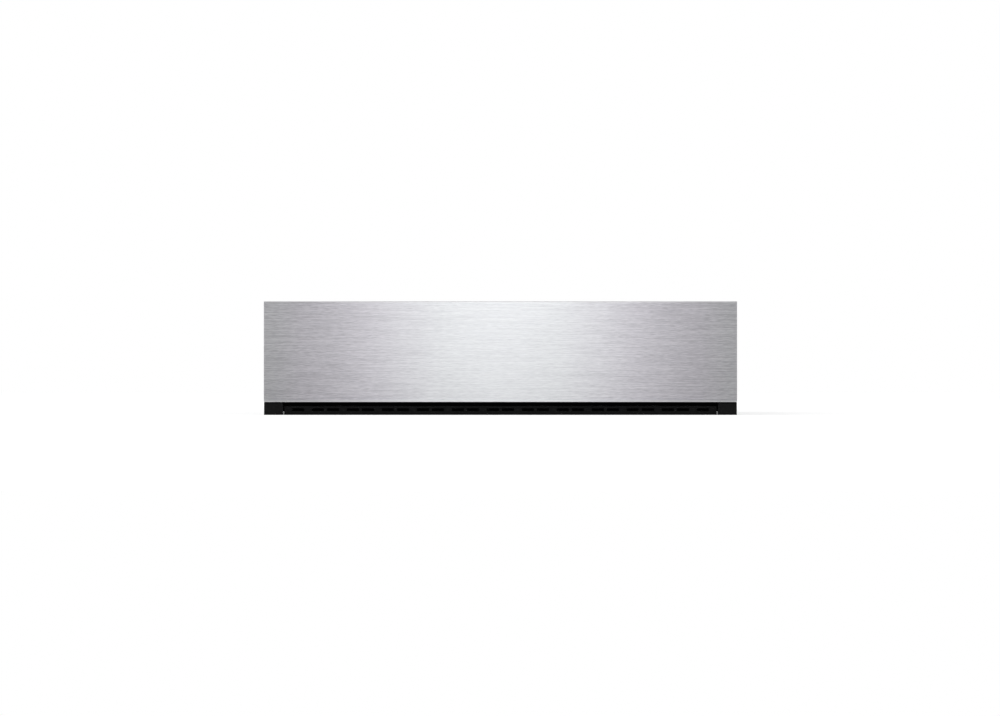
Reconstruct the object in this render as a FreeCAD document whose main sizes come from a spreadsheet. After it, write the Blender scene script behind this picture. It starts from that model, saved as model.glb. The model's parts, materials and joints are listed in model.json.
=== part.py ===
import FreeCAD, Part
import math
import os
import re

import Sketcher
from FreeCAD import Placement, Rotation, Vector

# A built-in vacuum sealing drawer of the 60 cm class, closed, as it stands in its niche.
# X runs to the right, Y to the back and Z up. The origin is the middle of the whole
# footprint, on the plane that the feet stand on. Every size is in millimetres.

doc = FreeCAD.newDocument("VacuumDrawer")

# Driving sizes: name, value, meaning
SIZES = (
    ("front_overhang", 19, "front panel beyond the casing, at each side"),
    ("front_rise", 6, "front panel above the casing"),
    ("panel_depth", 20, "front panel, face to back"),
    ("panel_sheet", 1, "steel of the front panel"),
    ("panel_round", 0.8, "rounding of the panel's front edges"),
    ("core_play", 0.2, "play between the panel and the board in it"),
    ("plinth_height", 16.3, "panel's bottom edge above the resting plane"),
    ("push_gap", 4, "air behind the panel, which is pushed in to open it"),
    ("casing_sheet", 1, "galvanised sheet of the casing"),
    ("casing_flange", 14, "folded flanges of the casing's sides"),
    ("flange_inset", 2, "front flange of the casing, in from the panel's ends"),
    ("rear_inset", 3, "rear wall, in front of the casing's back edge"),
    ("rear_fold", 12, "fold at the top of the rear wall"),
    ("floor_slot_length", 26, "air slots in the floor"),
    ("floor_slot_width", 6, "air slots in the floor"),
    ("floor_slot_row", 26, "air slots in the floor, row to row"),
    ("floor_slot_front", 90, "first row of those slots, behind the front flange"),
    ("floor_slot_side", 60, "those slots, in from the casing's sides"),
    ("cover_clearance", 30, "top cover's front edge behind the lid hinge"),
    ("rail_width", 8, "tie rail over the casing's mouth"),
    ("rail_lip", 3.5, "folded lip of the tie rail"),
    ("foot_height", 4.5, "rubber feet"),
    ("foot_radius", 12, "rubber feet"),
    ("foot_side", 40, "feet, in from the casing's sides"),
    ("foot_end", 34, "feet, in from the casing's ends"),
    ("trim_thickness", 2.5, "plate of the side trims"),
    ("trim_play", 0.5, "side trims, out from the casing's mouth"),
    ("block_width", 24, "blocks at the foot of the side trims, side to side"),
    ("block_height", 15.3, "blocks at the foot of the side trims"),
    ("block_step", 1, "blocks, in front of the vent strip"),
    ("block_round", 0.8, "rounding of the blocks"),
    ("niche_hole", 2.5, "radius of the holes for the cabinet screws"),
    ("niche_sink", 4.6, "radius of the countersinks on those holes"),
    ("niche_side", 9.5, "cabinet screws, in from the panel's ends"),
    ("niche_low", 35, "lower cabinet screws, above the resting plane"),
    ("niche_rise", 85, "cabinet screws, lower to upper"),
    ("strip_height", 11.4, "vent strip above the resting plane"),
    ("strip_setback", 13, "vent strip behind the panel's face"),
    ("strip_wall", 1.2, "wall of the vent strip"),
    ("strip_depth", 25, "vent strip, front to back"),
    ("strip_round", 0.6, "rounding of the vent strip's front edge"),
    ("strip_post", 6, "width of the posts under the vent strip"),
    ("strip_post_end", 30, "those posts, in from the strip's ends"),
    ("strip_post_gap", 2, "those posts, behind the front flange"),
    ("notch_width", 1.6, "gap between the vent strip and each block"),
    ("slot_width", 15.2, "air slots in the vent strip"),
    ("slot_height", 3.5, "air slots in the vent strip"),
    ("slot_base", 4.9, "air slots above the resting plane"),
    ("slot_gap", 3.9, "between the two slots of a pair"),
    ("slot_pitch", 44.1, "pair to pair"),
    ("runner_level", 42, "middle of the runners above the resting plane"),
    ("runner_height", 45, "outer member of a runner"),
    ("runner_thickness", 12.7, "whole runner, side to side"),
    ("runner_sheet", 1.2, "steel of the runners"),
    ("runner_rear_gap", 39.5, "runner, in front of the casing's back edge"),
    ("runner_inset", 4, "runner behind the casing's front edge"),
    ("runner_play", 0.6, "between the webs of two members"),
    ("runner_lip", 1.5, "members, in from the far face of the runner"),
    ("ball_radius", 1.5, "balls of the runners"),
    ("ball_play", 0.05, "between a ball and its track"),
    ("ball_pitch", 25, "ball to ball"),
    ("cage_length", 200, "ball cages"),
    ("cage_thickness", 0.8, "ball cages"),
    ("cage_width", 4.4, "ball cages"),
    ("cage_front", 145, "ball cages behind the runner's front end"),
    ("drawer_base", 12.5, "drawer's underside above the resting plane"),
    ("drawer_sheet", 1, "sheet of the drawer"),
    ("drawer_flange", 12, "folded flanges of the drawer's sides"),
    ("drawer_rear_gap", 43, "drawer's back in front of the casing's back edge"),
    ("deck_sheet", 1.2, "stainless sheet of the deck"),
    ("deck_side_gap", 1.5, "deck, in from the side trims"),
    ("deck_lip", 8, "folded side lips of the deck"),
    ("deck_vent_width", 4, "air slots in the deck"),
    ("deck_vent_side", 4, "air slots in the deck, in from the touch glass's sides"),
    ("deck_vent_front", 4, "air slots in the deck, in front of the fan"),
    ("deck_vent_rear", 14, "air slots in the deck, in front of the drawer's back"),
    ("chamber_margin", 26.3, "chamber's rim, in from the drawer's left side"),
    ("chamber_setback", 55, "chamber behind the panel's back"),
    ("chamber_width", 350, "chamber, inside"),
    ("chamber_length", 286, "chamber, inside, front to back"),
    ("chamber_depth", 85, "chamber, rim to floor"),
    ("chamber_radius", 25, "upright corners of the chamber, inside"),
    ("chamber_bend", 10, "rounding around the chamber's floor, inside"),
    ("chamber_sheet", 1.5, "stainless sheet of the chamber"),
    ("support_height", 13, "rails under the chamber, at least"),
    ("support_width", 50, "rails under the chamber"),
    ("support_sheet", 2, "steel of those rails"),
    ("support_end", 30, "those rails, in from the chamber's ends"),
    ("rim_width", 16, "chamber rim"),
    ("rim_thickness", 5, "chamber rim"),
    ("rim_proud", 2, "chamber rim above the deck"),
    ("rim_play", 0.5, "chamber rim in the deck's cut-out"),
    ("rim_round", 0.6, "rounding of the rim's outer edge"),
    ("seal_inset", 5, "lid seal, out from the chamber's wall"),
    ("seal_width", 6, "lid seal"),
    ("seal_height", 5.2, "lid seal"),
    ("seal_round", 2.2, "rounding of the lid seal's top"),
    ("groove_depth", 3, "groove of the lid seal"),
    ("groove_play", 0.2, "lid seal in its groove"),
    ("lid_thickness", 12, "glass of the lid"),
    ("lid_overhang", 5.5, "glass beyond the rim"),
    ("lid_gap", 0.2, "glass above the relaxed seal"),
    ("lid_radius", 14, "corners of the glass"),
    ("lid_bevel", 0.8, "ground edges of the glass"),
    ("lid_headroom", 4.6, "between the closed lid and the casing's cover"),
    ("hinge_setback", 12, "hinge axis behind the glass"),
    ("hinge_pin", 4, "radius of the hinge shaft"),
    ("hinge_play", 0.06, "hinge shaft in its bearings"),
    ("hinge_spread", 118, "hinge arms, either side of the chamber's middle"),
    ("arm_width", 26, "hinge arms"),
    ("arm_plate", 3, "plate of the hinge arms on the glass"),
    ("arm_reach", 38, "hinge arms, from the axis over the glass"),
    ("arm_gap", 0.5, "hinge arms behind the glass"),
    ("arm_drop", 5, "hinge arms, below the axis"),
    ("shaft_end", 2, "hinge shaft beyond the outer ears"),
    ("boss_radius", 8, "eye of the hinge arms"),
    ("ear_radius", 9, "round head of the hinge ears"),
    ("ear_width", 8, "hinge ears"),
    ("ear_gap", 0.5, "between a hinge arm and its ears"),
    ("ear_clear", 1, "between the foot plates and the turning arms"),
    ("ear_foot", 3, "foot plate of the hinge brackets"),
    ("ear_foot_back", 26, "foot plate of the hinge brackets, behind the axis"),
    ("ear_hole_spread", 9, "screw holes of the brackets, off their middle"),
    ("ear_hole_end", 8, "those holes, in from the foot plate's back"),
    ("spring_wire", 0.8, "radius of the spring wire"),
    ("spring_side", 3, "hinge springs, beside the ears"),
    ("spring_pitch", 2.4, "hinge springs, turn to turn"),
    ("spring_lap", 10, "upper leg of the hinge springs, over the glass"),
    ("spring_gap", 0.1, "hinge springs above the glass"),
    ("handle_width", 130, "grip of the lid"),
    ("handle_lip", 14, "grip in front of the glass"),
    ("handle_lap", 16, "grip over the glass"),
    ("handle_wall", 2.4, "grip above and below the glass"),
    ("handle_web", 4.5, "wall of the grip in front of the glass"),
    ("handle_nose", 2.6, "nose of the grip, below the top of the glass"),
    ("handle_clear", 1, "between the grip's lower lip and the rim"),
    ("handle_round", 1.1, "rounding of the grip"),
    ("counter_height", 4, "rubber holder under the lid"),
    ("counter_width", 20, "rubber holder under the lid"),
    ("counter_web", 2, "top of that holder"),
    ("rubber_height", 3.8, "pressure rubber under the holder"),
    ("rubber_width", 14, "pressure rubber"),
    ("rubber_round", 1.5, "rounding of the pressure rubber"),
    ("sealer_side", 20, "sealing bar, in from the chamber's sides"),
    ("sealer_width", 16, "sealing bar"),
    ("sealer_height", 18, "sealing bar"),
    ("sealer_round", 1.2, "rounding of the sealing bar"),
    ("sealer_inset", 14, "sealing bar behind the chamber's front wall"),
    ("sealer_travel", 6, "sealing bar, down to up"),
    ("sealer_kiss", 0.4, "raised bar below the pressure rubber"),
    ("heater_width", 5, "heating band"),
    ("heater_height", 0.4, "heating band"),
    ("heater_end", 6, "heating band, in from the bar's ends"),
    ("lifter_spread", 110, "lifters, either side of the chamber's middle"),
    ("lifter_radius", 12, "lifters of the sealing bar"),
    ("lifter_height", 42, "lifters of the sealing bar"),
    ("lifter_floor", 6, "closed end of the lifters"),
    ("rod_radius", 4, "rods of the lifters"),
    ("rod_play", 0.06, "rods in their bores"),
    ("rod_hold", 24, "rods inside the lifters"),
    ("control_width", 80, "touch glass"),
    ("control_length", 190, "touch glass"),
    ("control_thickness", 4, "touch glass"),
    ("control_proud", 0.6, "touch glass above the deck"),
    ("control_gap", 22.3, "touch glass, right of the chamber's rim"),
    ("control_margin", 20, "touch glass, in from the drawer's side"),
    ("control_setback", 33, "touch glass behind the panel's back"),
    ("control_play", 0.4, "touch glass in the deck's cut-out"),
    ("control_round", 0.4, "rounding of the touch glass"),
    ("tray_wall", 2, "wall of the tray under the touch glass"),
    ("tray_depth", 20, "tray under the touch glass"),
    ("tray_ledge", 3, "ledge of the tray under the touch glass"),
    ("board_thickness", 1.6, "circuit boards"),
    ("board_play", 0.5, "display board in the tray"),
    ("lamp_side", 4, "lamps on the display board, square"),
    ("lamp_gap", 1, "lamps below the touch glass"),
    ("lamp_spread", 18, "lamps, column to column"),
    ("lamp_pitch", 34, "lamps, row to row"),
    ("lamp_end", 40, "first row of lamps, in from the glass's back"),
    ("port_radius", 4, "socket of the outside vacuum port"),
    ("port_socket", 10, "depth of that socket"),
    ("port_body", 9, "radius of the port's body"),
    ("port_flange", 14, "radius of the port's flange"),
    ("port_flange_height", 2, "flange of the port"),
    ("port_length", 18, "outside vacuum port, top to bottom"),
    ("port_stem", 10, "port's body, below the top of the deck"),
    ("port_setback", 40, "outside vacuum port behind the touch glass"),
    ("cap_radius", 14.5, "cap of the port"),
    ("cap_height", 4, "cap of the port"),
    ("cap_round", 1.4, "rounding of the cap"),
    ("cap_gap", 0.3, "cap above the port"),
    ("outlet_offset", 100, "chamber outlet, right of the chamber's middle"),
    ("outlet_level", 56, "chamber outlet above the resting plane"),
    ("spigot_radius", 3.2, "hose spigots"),
    ("spigot_length", 9, "hose spigots"),
    ("spigot_wall", 1.2, "wall of the hose spigots"),
    ("spigot_split", 6, "the valve block's two side spigots, off its middle"),
    ("hose_play", 0.1, "hose on its spigot"),
    ("hose_wall", 1.7, "wall of the vacuum hoses"),
    ("hose_swing", 52, "pump hose, out from the valve block"),
    ("filter_radius", 17, "strainer in the chamber"),
    ("filter_height", 5, "strainer in the chamber"),
    ("filter_hole", 1.2, "radius of the strainer's holes"),
    ("filter_wall", 1.2, "face of the strainer"),
    ("filter_rim", 2, "side wall of the strainer"),
    ("filter_pitch", 4, "rings of holes in the strainer"),
    ("neck_wall", 2, "neck of the outlet around its bore"),
    ("nut_radius", 13, "nut behind the chamber's wall"),
    ("nut_height", 3, "nut behind the chamber's wall"),
    ("stub_length", 6, "short spigots between chamber and valve block"),
    ("valve_length", 84, "valve block, side to side"),
    ("valve_depth", 26, "valve block, front to back"),
    ("valve_height", 26, "valve block"),
    ("valve_gap", 18, "valve block behind the chamber's wall"),
    ("coil_radius", 10, "valve coils"),
    ("coil_height", 11, "valve coils"),
    ("coil_pitch", 28, "valve coils, middle to middle"),
    ("coil_stem_radius", 3.5, "stems of the valve coils"),
    ("coil_stem_height", 4, "stems of the valve coils"),
    ("post_radius", 5, "posts under the valve block"),
    ("post_spread", 30, "posts, either side of the block's middle"),
    ("motor_radius", 35, "motor housing"),
    ("motor_length", 132, "motor housing"),
    ("motor_wall", 4, "wall of the motor housing"),
    ("fin_height", 4, "fins of the motor housing"),
    ("fin_width", 2, "fins of the motor housing"),
    ("fin_root", 1, "fins, sunk in the housing"),
    ("fin_end", 10, "fins, in from the housing's ends"),
    ("shield_thickness", 6, "end shields of the motor"),
    ("pump_clearance", 9.5, "pump behind the valve block"),
    ("pump_headroom", 4.3, "between the pump and the deck, at least"),
    ("pump_gap", 6, "pump in front of the drawer's back wall"),
    ("pump_left_gap", 48, "fan cowl of the motor, in from the drawer's side"),
    ("head_length", 66, "pump head"),
    ("head_side", 84, "pump head, square"),
    ("head_bore", 30, "radius of the pump chamber"),
    ("head_wall", 8, "back wall of the pump head"),
    ("head_cover", 8, "end cover of the pump head"),
    ("head_round", 6, "long edges of the pump head"),
    ("head_axis_drop", 2, "shaft below the middle of the pump head"),
    ("bolt_inset", 8, "cover bolts, in from the head's edges"),
    ("bolt_height", 2.5, "heads of the cover bolts"),
    ("rotor_radius", 25, "pump rotor"),
    ("rotor_gap", 0.4, "least gap between the rotor and the pump chamber"),
    ("rotor_play", 0.3, "rotor and armature, at each end"),
    ("shaft_radius", 5, "motor shaft"),
    ("shaft_play", 0.06, "motor shaft in its bearings"),
    ("armature_gap", 2, "between the armature and the motor housing"),
    ("armature_end", 24, "armature, in from the housing's ends"),
    ("vane_root", 5, "foot of the vanes, out from the shaft"),
    ("vane_play", 0.2, "slits beside the vanes"),
    ("vane_thickness", 3, "vanes of the pump"),
    ("cowl_length", 26, "cowl over the motor's fan"),
    ("cowl_wall", 1.5, "wall of the cowl"),
    ("cowl_step", 2, "cowl, beyond the housing's radius"),
    ("cowl_slot_reach", 30, "air slots of the cowl, out from the axis"),
    ("cowl_slot_width", 5, "air slots of the cowl"),
    ("cowl_slot_pitch", 8, "air slots of the cowl"),
    ("blade_radius", 31, "motor fan"),
    ("blade_width", 2, "blades of the motor fan"),
    ("blade_start", 8, "motor fan, in from the cowl's end"),
    ("blade_end", 3, "motor fan, in from the motor housing"),
    ("blade_hub", 9, "radius of the motor fan's hub"),
    ("mount_height", 6, "rubber mounts under the pump"),
    ("mount_radius", 8, "rubber mounts under the pump"),
    ("mount_spread", 24, "rubber mounts, either side of the pump's axis"),
    ("mount_motor_end", 18, "rubber mounts, in from the motor's end"),
    ("mount_head_end", 16, "rubber mounts, in from the head's end"),
    ("cradle_plate", 2, "plate of the pump cradle"),
    ("cradle_width", 72, "plate of the pump cradle"),
    ("cradle_motor_end", 4, "cradle, in from the motor's end"),
    ("cradle_head_end", 2, "cradle, in from the head's end"),
    ("cradle_play", 0.2, "motor in the saddles of the cradle"),
    ("saddle_length", 14, "saddles of the cradle"),
    ("saddle_width", 48, "saddles of the cradle"),
    ("saddle_end", 16, "saddles, in from the motor's ends"),
    ("muffler_radius", 17, "exhaust filter"),
    ("muffler_length", 42, "exhaust filter"),
    ("muffler_side", 6, "exhaust filter, right of the head's left face"),
    ("muffler_neck", 8, "radius of the exhaust filter's neck"),
    ("muffler_neck_length", 6, "neck of the exhaust filter"),
    ("muffler_groove", 2, "grooves of the exhaust filter, deep"),
    ("muffler_groove_width", 3, "grooves of the exhaust filter"),
    ("muffler_groove_pitch", 7, "grooves of the exhaust filter"),
    ("muffler_groove_start", 6, "grooves, in from the filter's end"),
    ("fan_side", 80, "cooling fan, square"),
    ("fan_depth", 25, "cooling fan"),
    ("fan_level", 61, "cooling fan above the resting plane"),
    ("fan_margin", 34.3, "cooling fan, in from the drawer's side"),
    ("fan_rim", 3, "frame of the fan around its duct, at least"),
    ("fan_tip_gap", 2, "between the fan's blades and its duct"),
    ("fan_hub", 15, "radius of the fan's hub"),
    ("fan_pin", 2, "radius of the fan's shaft"),
    ("fan_strut", 3, "struts that carry the fan's motor"),
    ("fan_cup_gap", 0.6, "wheel behind the struts"),
    ("fan_wheel_end", 3, "wheel, in from the frame's back"),
    ("fan_blade", 1.6, "thickness of the fan's blades"),
    ("fan_blade_start", 1.2, "blades behind the hub's front"),
    ("fan_blade_end", 3, "blades, shorter than the hub"),
    ("rear_slot_height", 3.4, "air slots in the rear wall"),
    ("rear_slot_pitch", 8, "air slots in the rear wall"),
    ("rear_slot_length", 38, "air slots in the rear wall"),
    ("rear_slot_split", 6, "between the two columns of those slots"),
    ("power_setback", 70, "power board behind the panel's back"),
    ("power_width", 92, "power board"),
    ("power_length", 118, "power board"),
    ("standoff_height", 8, "standoffs of the power board"),
    ("standoff_radius", 3, "standoffs of the power board"),
    ("standoff_inset", 5, "standoffs, in from the board's corners"),
    ("capacitor_radius", 9, "capacitors on the power board"),
    ("capacitor_height", 26, "capacitors on the power board"),
    ("capacitor_side", 18, "first capacitor, in from the board's left edge"),
    ("capacitor_pitch", 22, "capacitor to capacitor"),
    ("capacitor_front", 20, "capacitors, behind the board's front edge"),
    ("relay_width", 24, "relays on the power board"),
    ("relay_length", 28, "relays on the power board"),
    ("relay_height", 16, "relays on the power board"),
    ("relay_side", 8, "relays, in from the board's right edge"),
    ("relay_front", 10, "first relay, behind the board's front edge"),
    ("relay_pitch", 34, "relay to relay"),
    ("sink_width", 42, "heat sink on the power board"),
    ("sink_length", 18, "heat sink on the power board"),
    ("sink_height", 28, "heat sink on the power board"),
    ("sink_side", 8, "heat sink, in from the board's left edge"),
    ("sink_front", 44, "heat sink, behind the board's front edge"),
    ("socket_width", 60, "terminal row on the power board"),
    ("socket_length", 10, "terminal row on the power board"),
    ("socket_height", 10, "terminal row on the power board"),
    ("socket_side", 10, "terminal row, in from the board's left edge"),
    ("socket_end", 6, "terminal row, in from the board's back edge"),
    ("transformer_side", 62, "heater transformer, side to side"),
    ("transformer_length", 52, "heater transformer, front to back"),
    ("transformer_height", 52, "heater transformer"),
    ("winding_inset", 12, "winding, in from the transformer's sides"),
    ("winding_lift", 10, "winding, in from its top, foot and ends"),
    ("transformer_gap", 8, "heater transformer behind the power board"),
    ("latch_width", 44, "push latch"),
    ("latch_height", 20, "push latch"),
    ("latch_length", 30, "push latch, front to back"),
    ("latch_wall", 2, "back wall of the push latch"),
    ("latch_level", 60, "push latch above the resting plane"),
    ("plunger_radius", 4, "plunger of the push latch"),
    ("plunger_play", 0.15, "plunger in its bore"),
    ("plunger_air", 3.5, "plunger's tip behind the drawer's back wall"),
    ("plunger_length", 28, "plunger of the push latch"),
    ("plunger_point", 2, "tapered tip of the plunger"),
    ("plunger_taper", 1.5, "tip of the plunger, narrower than its stem"),
    ("inlet_margin", 64.5, "mains inlet, in from the casing's left side"),
    ("inlet_level", 60, "mains inlet above the resting plane"),
    ("inlet_width", 27, "mains inlet, body"),
    ("inlet_height", 19.6, "mains inlet, body"),
    ("inlet_depth", 16, "mains inlet, body behind its flange"),
    ("inlet_flange", 2, "mains inlet, flange"),
    ("inlet_rim", 6, "mains inlet, flange beyond the body"),
    ("inlet_play", 0.2, "mains inlet in its cut-out"),
    ("inlet_wall", 1.5, "side walls of the mains inlet"),
    ("inlet_back", 2, "back wall of the mains inlet"),
    ("inlet_sink", 5.5, "pins below the mouth of the mains inlet"),
    ("pin_thickness", 2, "pins of the mains inlet"),
    ("pin_height", 4, "pins of the mains inlet"),
    ("pin_spread", 7, "outer pins, either side of the middle"),
    ("pin_rise", 2, "pins, above or below the middle"),
    ("rivet_front", 50, "first rivet, behind the front flange"),
    ("rivet_rear", 40, "last rivet, in front of the rear wall"),
    ("rivet_radius", 1.6, "blind rivets"),
    ("rivet_head", 3.2, "blind rivets"),
    ("rivet_dome", 0.9, "height of the rivets' heads"),
    ("screw_radius", 1.75, "shanks of the screws"),
    ("screw_reach", 12, "panel screws into the board"),
    ("panel_screw_side", 59.6, "outer panel screws, in from the panel's ends"),
    ("panel_screw_low", 14, "lower panel screws, above the drawer's floor"),
    ("panel_screw_high", 16, "upper panel screws, below the deck"),
    ("deck_screw_front", 16, "first deck screw, behind the panel"),
    ("deck_screw_rear", 12, "last deck screw, in front of the drawer's back"),
    ("deck_screw_reach", 6, "deck screws, below the deck"),
    ("screw_head", 3.5, "heads of the screws"),
    ("screw_height", 1.6, "height of the screws' heads"),
    ("screw_taper", 1, "heads of the deck screws, narrower on top"),
    ("fastener_play", 0.1, "fasteners in their holes"),
    ("past", 1, "how far a cutting shape runs past what it cuts"),
)

# Places that follow from the driving sizes: name, formula
LAYOUT = (
    ("drawer_width", "chamber_margin + chamber_width + 2 * rim_width + control_gap"
                     " + control_width + control_margin"),
    ("casing_width", "drawer_width + 2 * runner_thickness + 2 * casing_sheet"),
    ("casing_length", "chamber_setback - push_gap + chamber_length + chamber_sheet"
                      " + valve_gap + valve_depth + pump_clearance + head_side + pump_gap"
                      " + drawer_sheet + drawer_rear_gap"),
    ("front", "-(panel_depth + push_gap + casing_length) / 2"),
    ("panel_back", "front + panel_depth"),
    ("panel_half", "casing_width / 2 + front_overhang"),
    ("casing_front", "panel_back + push_gap"),
    ("casing_back", "casing_front + casing_length"),
    ("shell_front", "casing_front + trim_thickness"),
    ("casing_half", "casing_width / 2"),
    ("casing_in", "casing_half - casing_sheet"),
    ("floor_top", "foot_height + casing_sheet"),
    ("rear_outer", "casing_back - rear_inset"),
    ("rear_inner", "rear_outer - casing_sheet"),
    ("trim_in", "panel_half - block_width"),
    ("strip_half", "trim_in - notch_width"),
    ("strip_front", "front + strip_setback"),
    ("strip_back", "strip_front + strip_depth"),
    ("block_front", "strip_front - block_step"),
    ("niche_x", "panel_half - niche_side"),
    ("niche_high", "niche_low + niche_rise"),
    ("runner_front", "shell_front + runner_inset"),
    ("runner_back", "casing_back - runner_rear_gap"),
    ("track", "2 * ball_radius + 2 * ball_play"),
    ("outer_half", "runner_height / 2"),
    ("middle_half", "outer_half - runner_sheet - track"),
    ("inner_half", "middle_half - runner_sheet - track"),
    ("drawer_half", "casing_in - runner_thickness"),
    ("drawer_in", "drawer_half - drawer_sheet"),
    ("drawer_back", "casing_back - drawer_rear_gap"),
    ("drawer_wall", "drawer_back - drawer_sheet"),
    ("drawer_floor", "drawer_base + drawer_sheet"),
    ("cradle_under", "drawer_floor + mount_height"),
    ("cradle_top", "cradle_under + cradle_plate"),
    ("head_top", "cradle_top + head_side"),
    ("over_pump", "head_top + pump_headroom + deck_sheet"),
    ("over_chamber", "drawer_floor + support_height + chamber_sheet + chamber_depth"
                     " - rim_proud"),
    ("deck_level", "max(over_pump; over_chamber)"),
    ("deck_under", "deck_level - deck_sheet"),
    ("deck_half", "trim_in - deck_side_gap"),
    ("chamber_left", "chamber_margin + rim_width - drawer_half"),
    ("chamber_right", "chamber_left + chamber_width"),
    ("chamber_x", "chamber_left + chamber_width / 2"),
    ("chamber_front", "panel_back + chamber_setback"),
    ("chamber_back", "chamber_front + chamber_length"),
    ("rim_top", "deck_level + rim_proud"),
    ("rim_under", "rim_top - rim_thickness"),
    ("chamber_floor", "rim_top - chamber_depth"),
    ("tub_under", "chamber_floor - chamber_sheet"),
    ("groove_floor", "rim_top - groove_depth"),
    ("seal_top", "groove_floor + seal_height"),
    ("lid_under", "seal_top + lid_gap"),
    ("lid_top", "lid_under + lid_thickness"),
    ("cover_under", "lid_top + arm_plate + lid_headroom"),
    ("flange_under", "cover_under + casing_sheet"),
    ("casing_top", "flange_under + casing_sheet"),
    ("panel_top", "casing_top + front_rise"),
    ("lid_reach", "rim_width + lid_overhang"),
    ("lid_front", "chamber_front - lid_reach"),
    ("lid_back", "chamber_back + lid_reach"),
    ("hinge_y", "lid_back + hinge_setback"),
    ("hinge_z", "lid_under + lid_thickness / 2"),
    ("spring_radius", "lid_thickness / 2 + spring_gap + spring_wire"),
    ("rubber_under", "lid_under - counter_height - rubber_height"),
    ("sealer_half", "chamber_width / 2 - sealer_side"),
    ("sealer_top", "rubber_under - sealer_kiss - sealer_travel"),
    ("sealer_under", "sealer_top - sealer_height"),
    ("sealer_y", "chamber_front + sealer_inset + sealer_width / 2"),
    ("lifter_top", "chamber_floor + lifter_height"),
    ("control_right", "drawer_half - control_margin"),
    ("control_left", "control_right - control_width"),
    ("control_front", "panel_back + control_setback"),
    ("control_back", "control_front + control_length"),
    ("control_top", "deck_level + control_proud"),
    ("control_under", "control_top - control_thickness"),
    ("control_x", "(control_left + control_right) / 2"),
    ("port_y", "control_back + port_setback"),
    ("port_top", "deck_level + port_flange_height"),
    ("port_under", "port_top - port_length"),
    ("port_low", "deck_level - port_stem"),
    ("outlet_x", "chamber_x + outlet_offset"),
    ("tub_back", "chamber_back + chamber_sheet"),
    ("valve_front", "tub_back + valve_gap"),
    ("valve_y", "valve_front + valve_depth / 2"),
    ("valve_under", "outlet_level - valve_height / 2"),
    ("valve_top", "outlet_level + valve_height / 2"),
    ("valve_left", "outlet_x - valve_length / 2"),
    ("valve_right", "outlet_x + valve_length / 2"),
    ("hose_radius", "spigot_radius + hose_play + hose_wall"),
    ("pump_hose_y", "valve_y + spigot_split"),
    ("pump_hose_z", "outlet_level + spigot_split"),
    ("port_hose_y", "valve_y - spigot_split"),
    ("port_hose_z", "outlet_level - spigot_split"),
    ("pump_y", "drawer_wall - pump_gap - head_side / 2"),
    ("cowl_left", "pump_left_gap - drawer_in"),
    ("motor_left", "cowl_left + cowl_length"),
    ("head_left", "motor_left + motor_length"),
    ("head_right", "head_left + head_length"),
    ("head_split", "head_right - head_cover"),
    ("head_front", "pump_y - head_side / 2"),
    ("pump_level", "cradle_top + head_side / 2 - head_axis_drop"),
    ("rotor_drop", "head_bore - rotor_radius - rotor_gap"),
    ("power_front", "panel_back + power_setback"),
    ("power_back", "power_front + power_length"),
    ("power_under", "drawer_floor + standoff_height"),
    ("transformer_front", "power_back + transformer_gap"),
    ("plunger_tip", "drawer_back + plunger_air"),
    ("fan_front", "drawer_wall - fan_depth"),
    ("fan_x", "drawer_in - fan_margin - fan_side / 2"),
    ("fan_bore", "fan_side / 2 - fan_rim"),
    ("fan_tip", "fan_bore - fan_tip_gap"),
    ("inlet_x", "inlet_margin + inlet_width / 2 - casing_in"),
)

# Counts
SLOT_PAIRS = 11
BALLS = 8
SPRING_TURNS = 5
MOTOR_FINS = 24
RIVETS = 5
REAR_SLOTS = 9
FLOOR_SLOTS = 12
FLOOR_SLOT_ROWS = 3
STRIP_POSTS = 6
DECK_SCREWS = 4
DECK_VENTS = 8
STRAINER_RINGS = 3
LAMP_ROWS = 4
COWL_SLOTS = 7
MOTOR_BLADES = 6
FAN_BLADES = 7
MUFFLER_GROOVES = 4

# Slant of the cooling fan's blades, in degrees
FAN_PITCH = 22

sizes = doc.addObject("Spreadsheet::Sheet", "Sizes")
layout = doc.addObject("Spreadsheet::Sheet", "Layout")
working = doc.addObject("Spreadsheet::Sheet", "Working")
SHEETS = {name: "Sizes." for name, *_ in SIZES}
SHEETS.update({name: "Layout." for name, _ in LAYOUT})
NAME = re.compile(r"[A-Za-z_][A-Za-z_0-9]*")


def named(text):
    """The formula with each name led by the sheet that holds it."""
    return NAME.sub(lambda found: SHEETS.get(found.group(), "") + found.group(), text)


def fill_sheets():
    """Writes the driving sizes as plain numbers and the layout as formulas of them."""
    for row, (name, value, meaning) in enumerate(SIZES, start=1):
        sizes.set(f"A{row}", name)
        sizes.set(f"B{row}", str(value))
        sizes.set(f"C{row}", meaning)
        sizes.setAlias(f"B{row}", name)
    for row, (name, formula) in enumerate(LAYOUT, start=1):
        layout.set(f"A{row}", name)
        layout.setAlias(f"B{row}", name)
        layout.set(f"B{row}", "=" + named(formula).replace("Layout.", "."))
    doc.recompute()


fill_sheets()


def number(text):
    """The value of a formula in the names of the two sheets."""
    working.set("A1", "=" + named(str(text)))
    working.recompute()
    return float(working.get("A1"))


def tie(thing, prop, text):
    """Binds one property of an object to a formula."""
    thing.setExpression(prop, named(str(text)))


# Primitives and booleans


def box(label, x, y, z):
    """A block between two corners: each side is given as (low, high)."""
    made = doc.addObject("Part::Box", label)
    for side, at, (low, high) in zip(("Length", "Width", "Height"), "xyz", (x, y, z)):
        tie(made, side, f"({high}) - ({low})")
        tie(made, f"Placement.Base.{at}", low)
    return made


TURNED = {
    "x": Rotation(Vector(0, 1, 0), 90),
    "y": Rotation(Vector(1, 0, 0), -90),
    "z": Rotation(),
}


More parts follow.
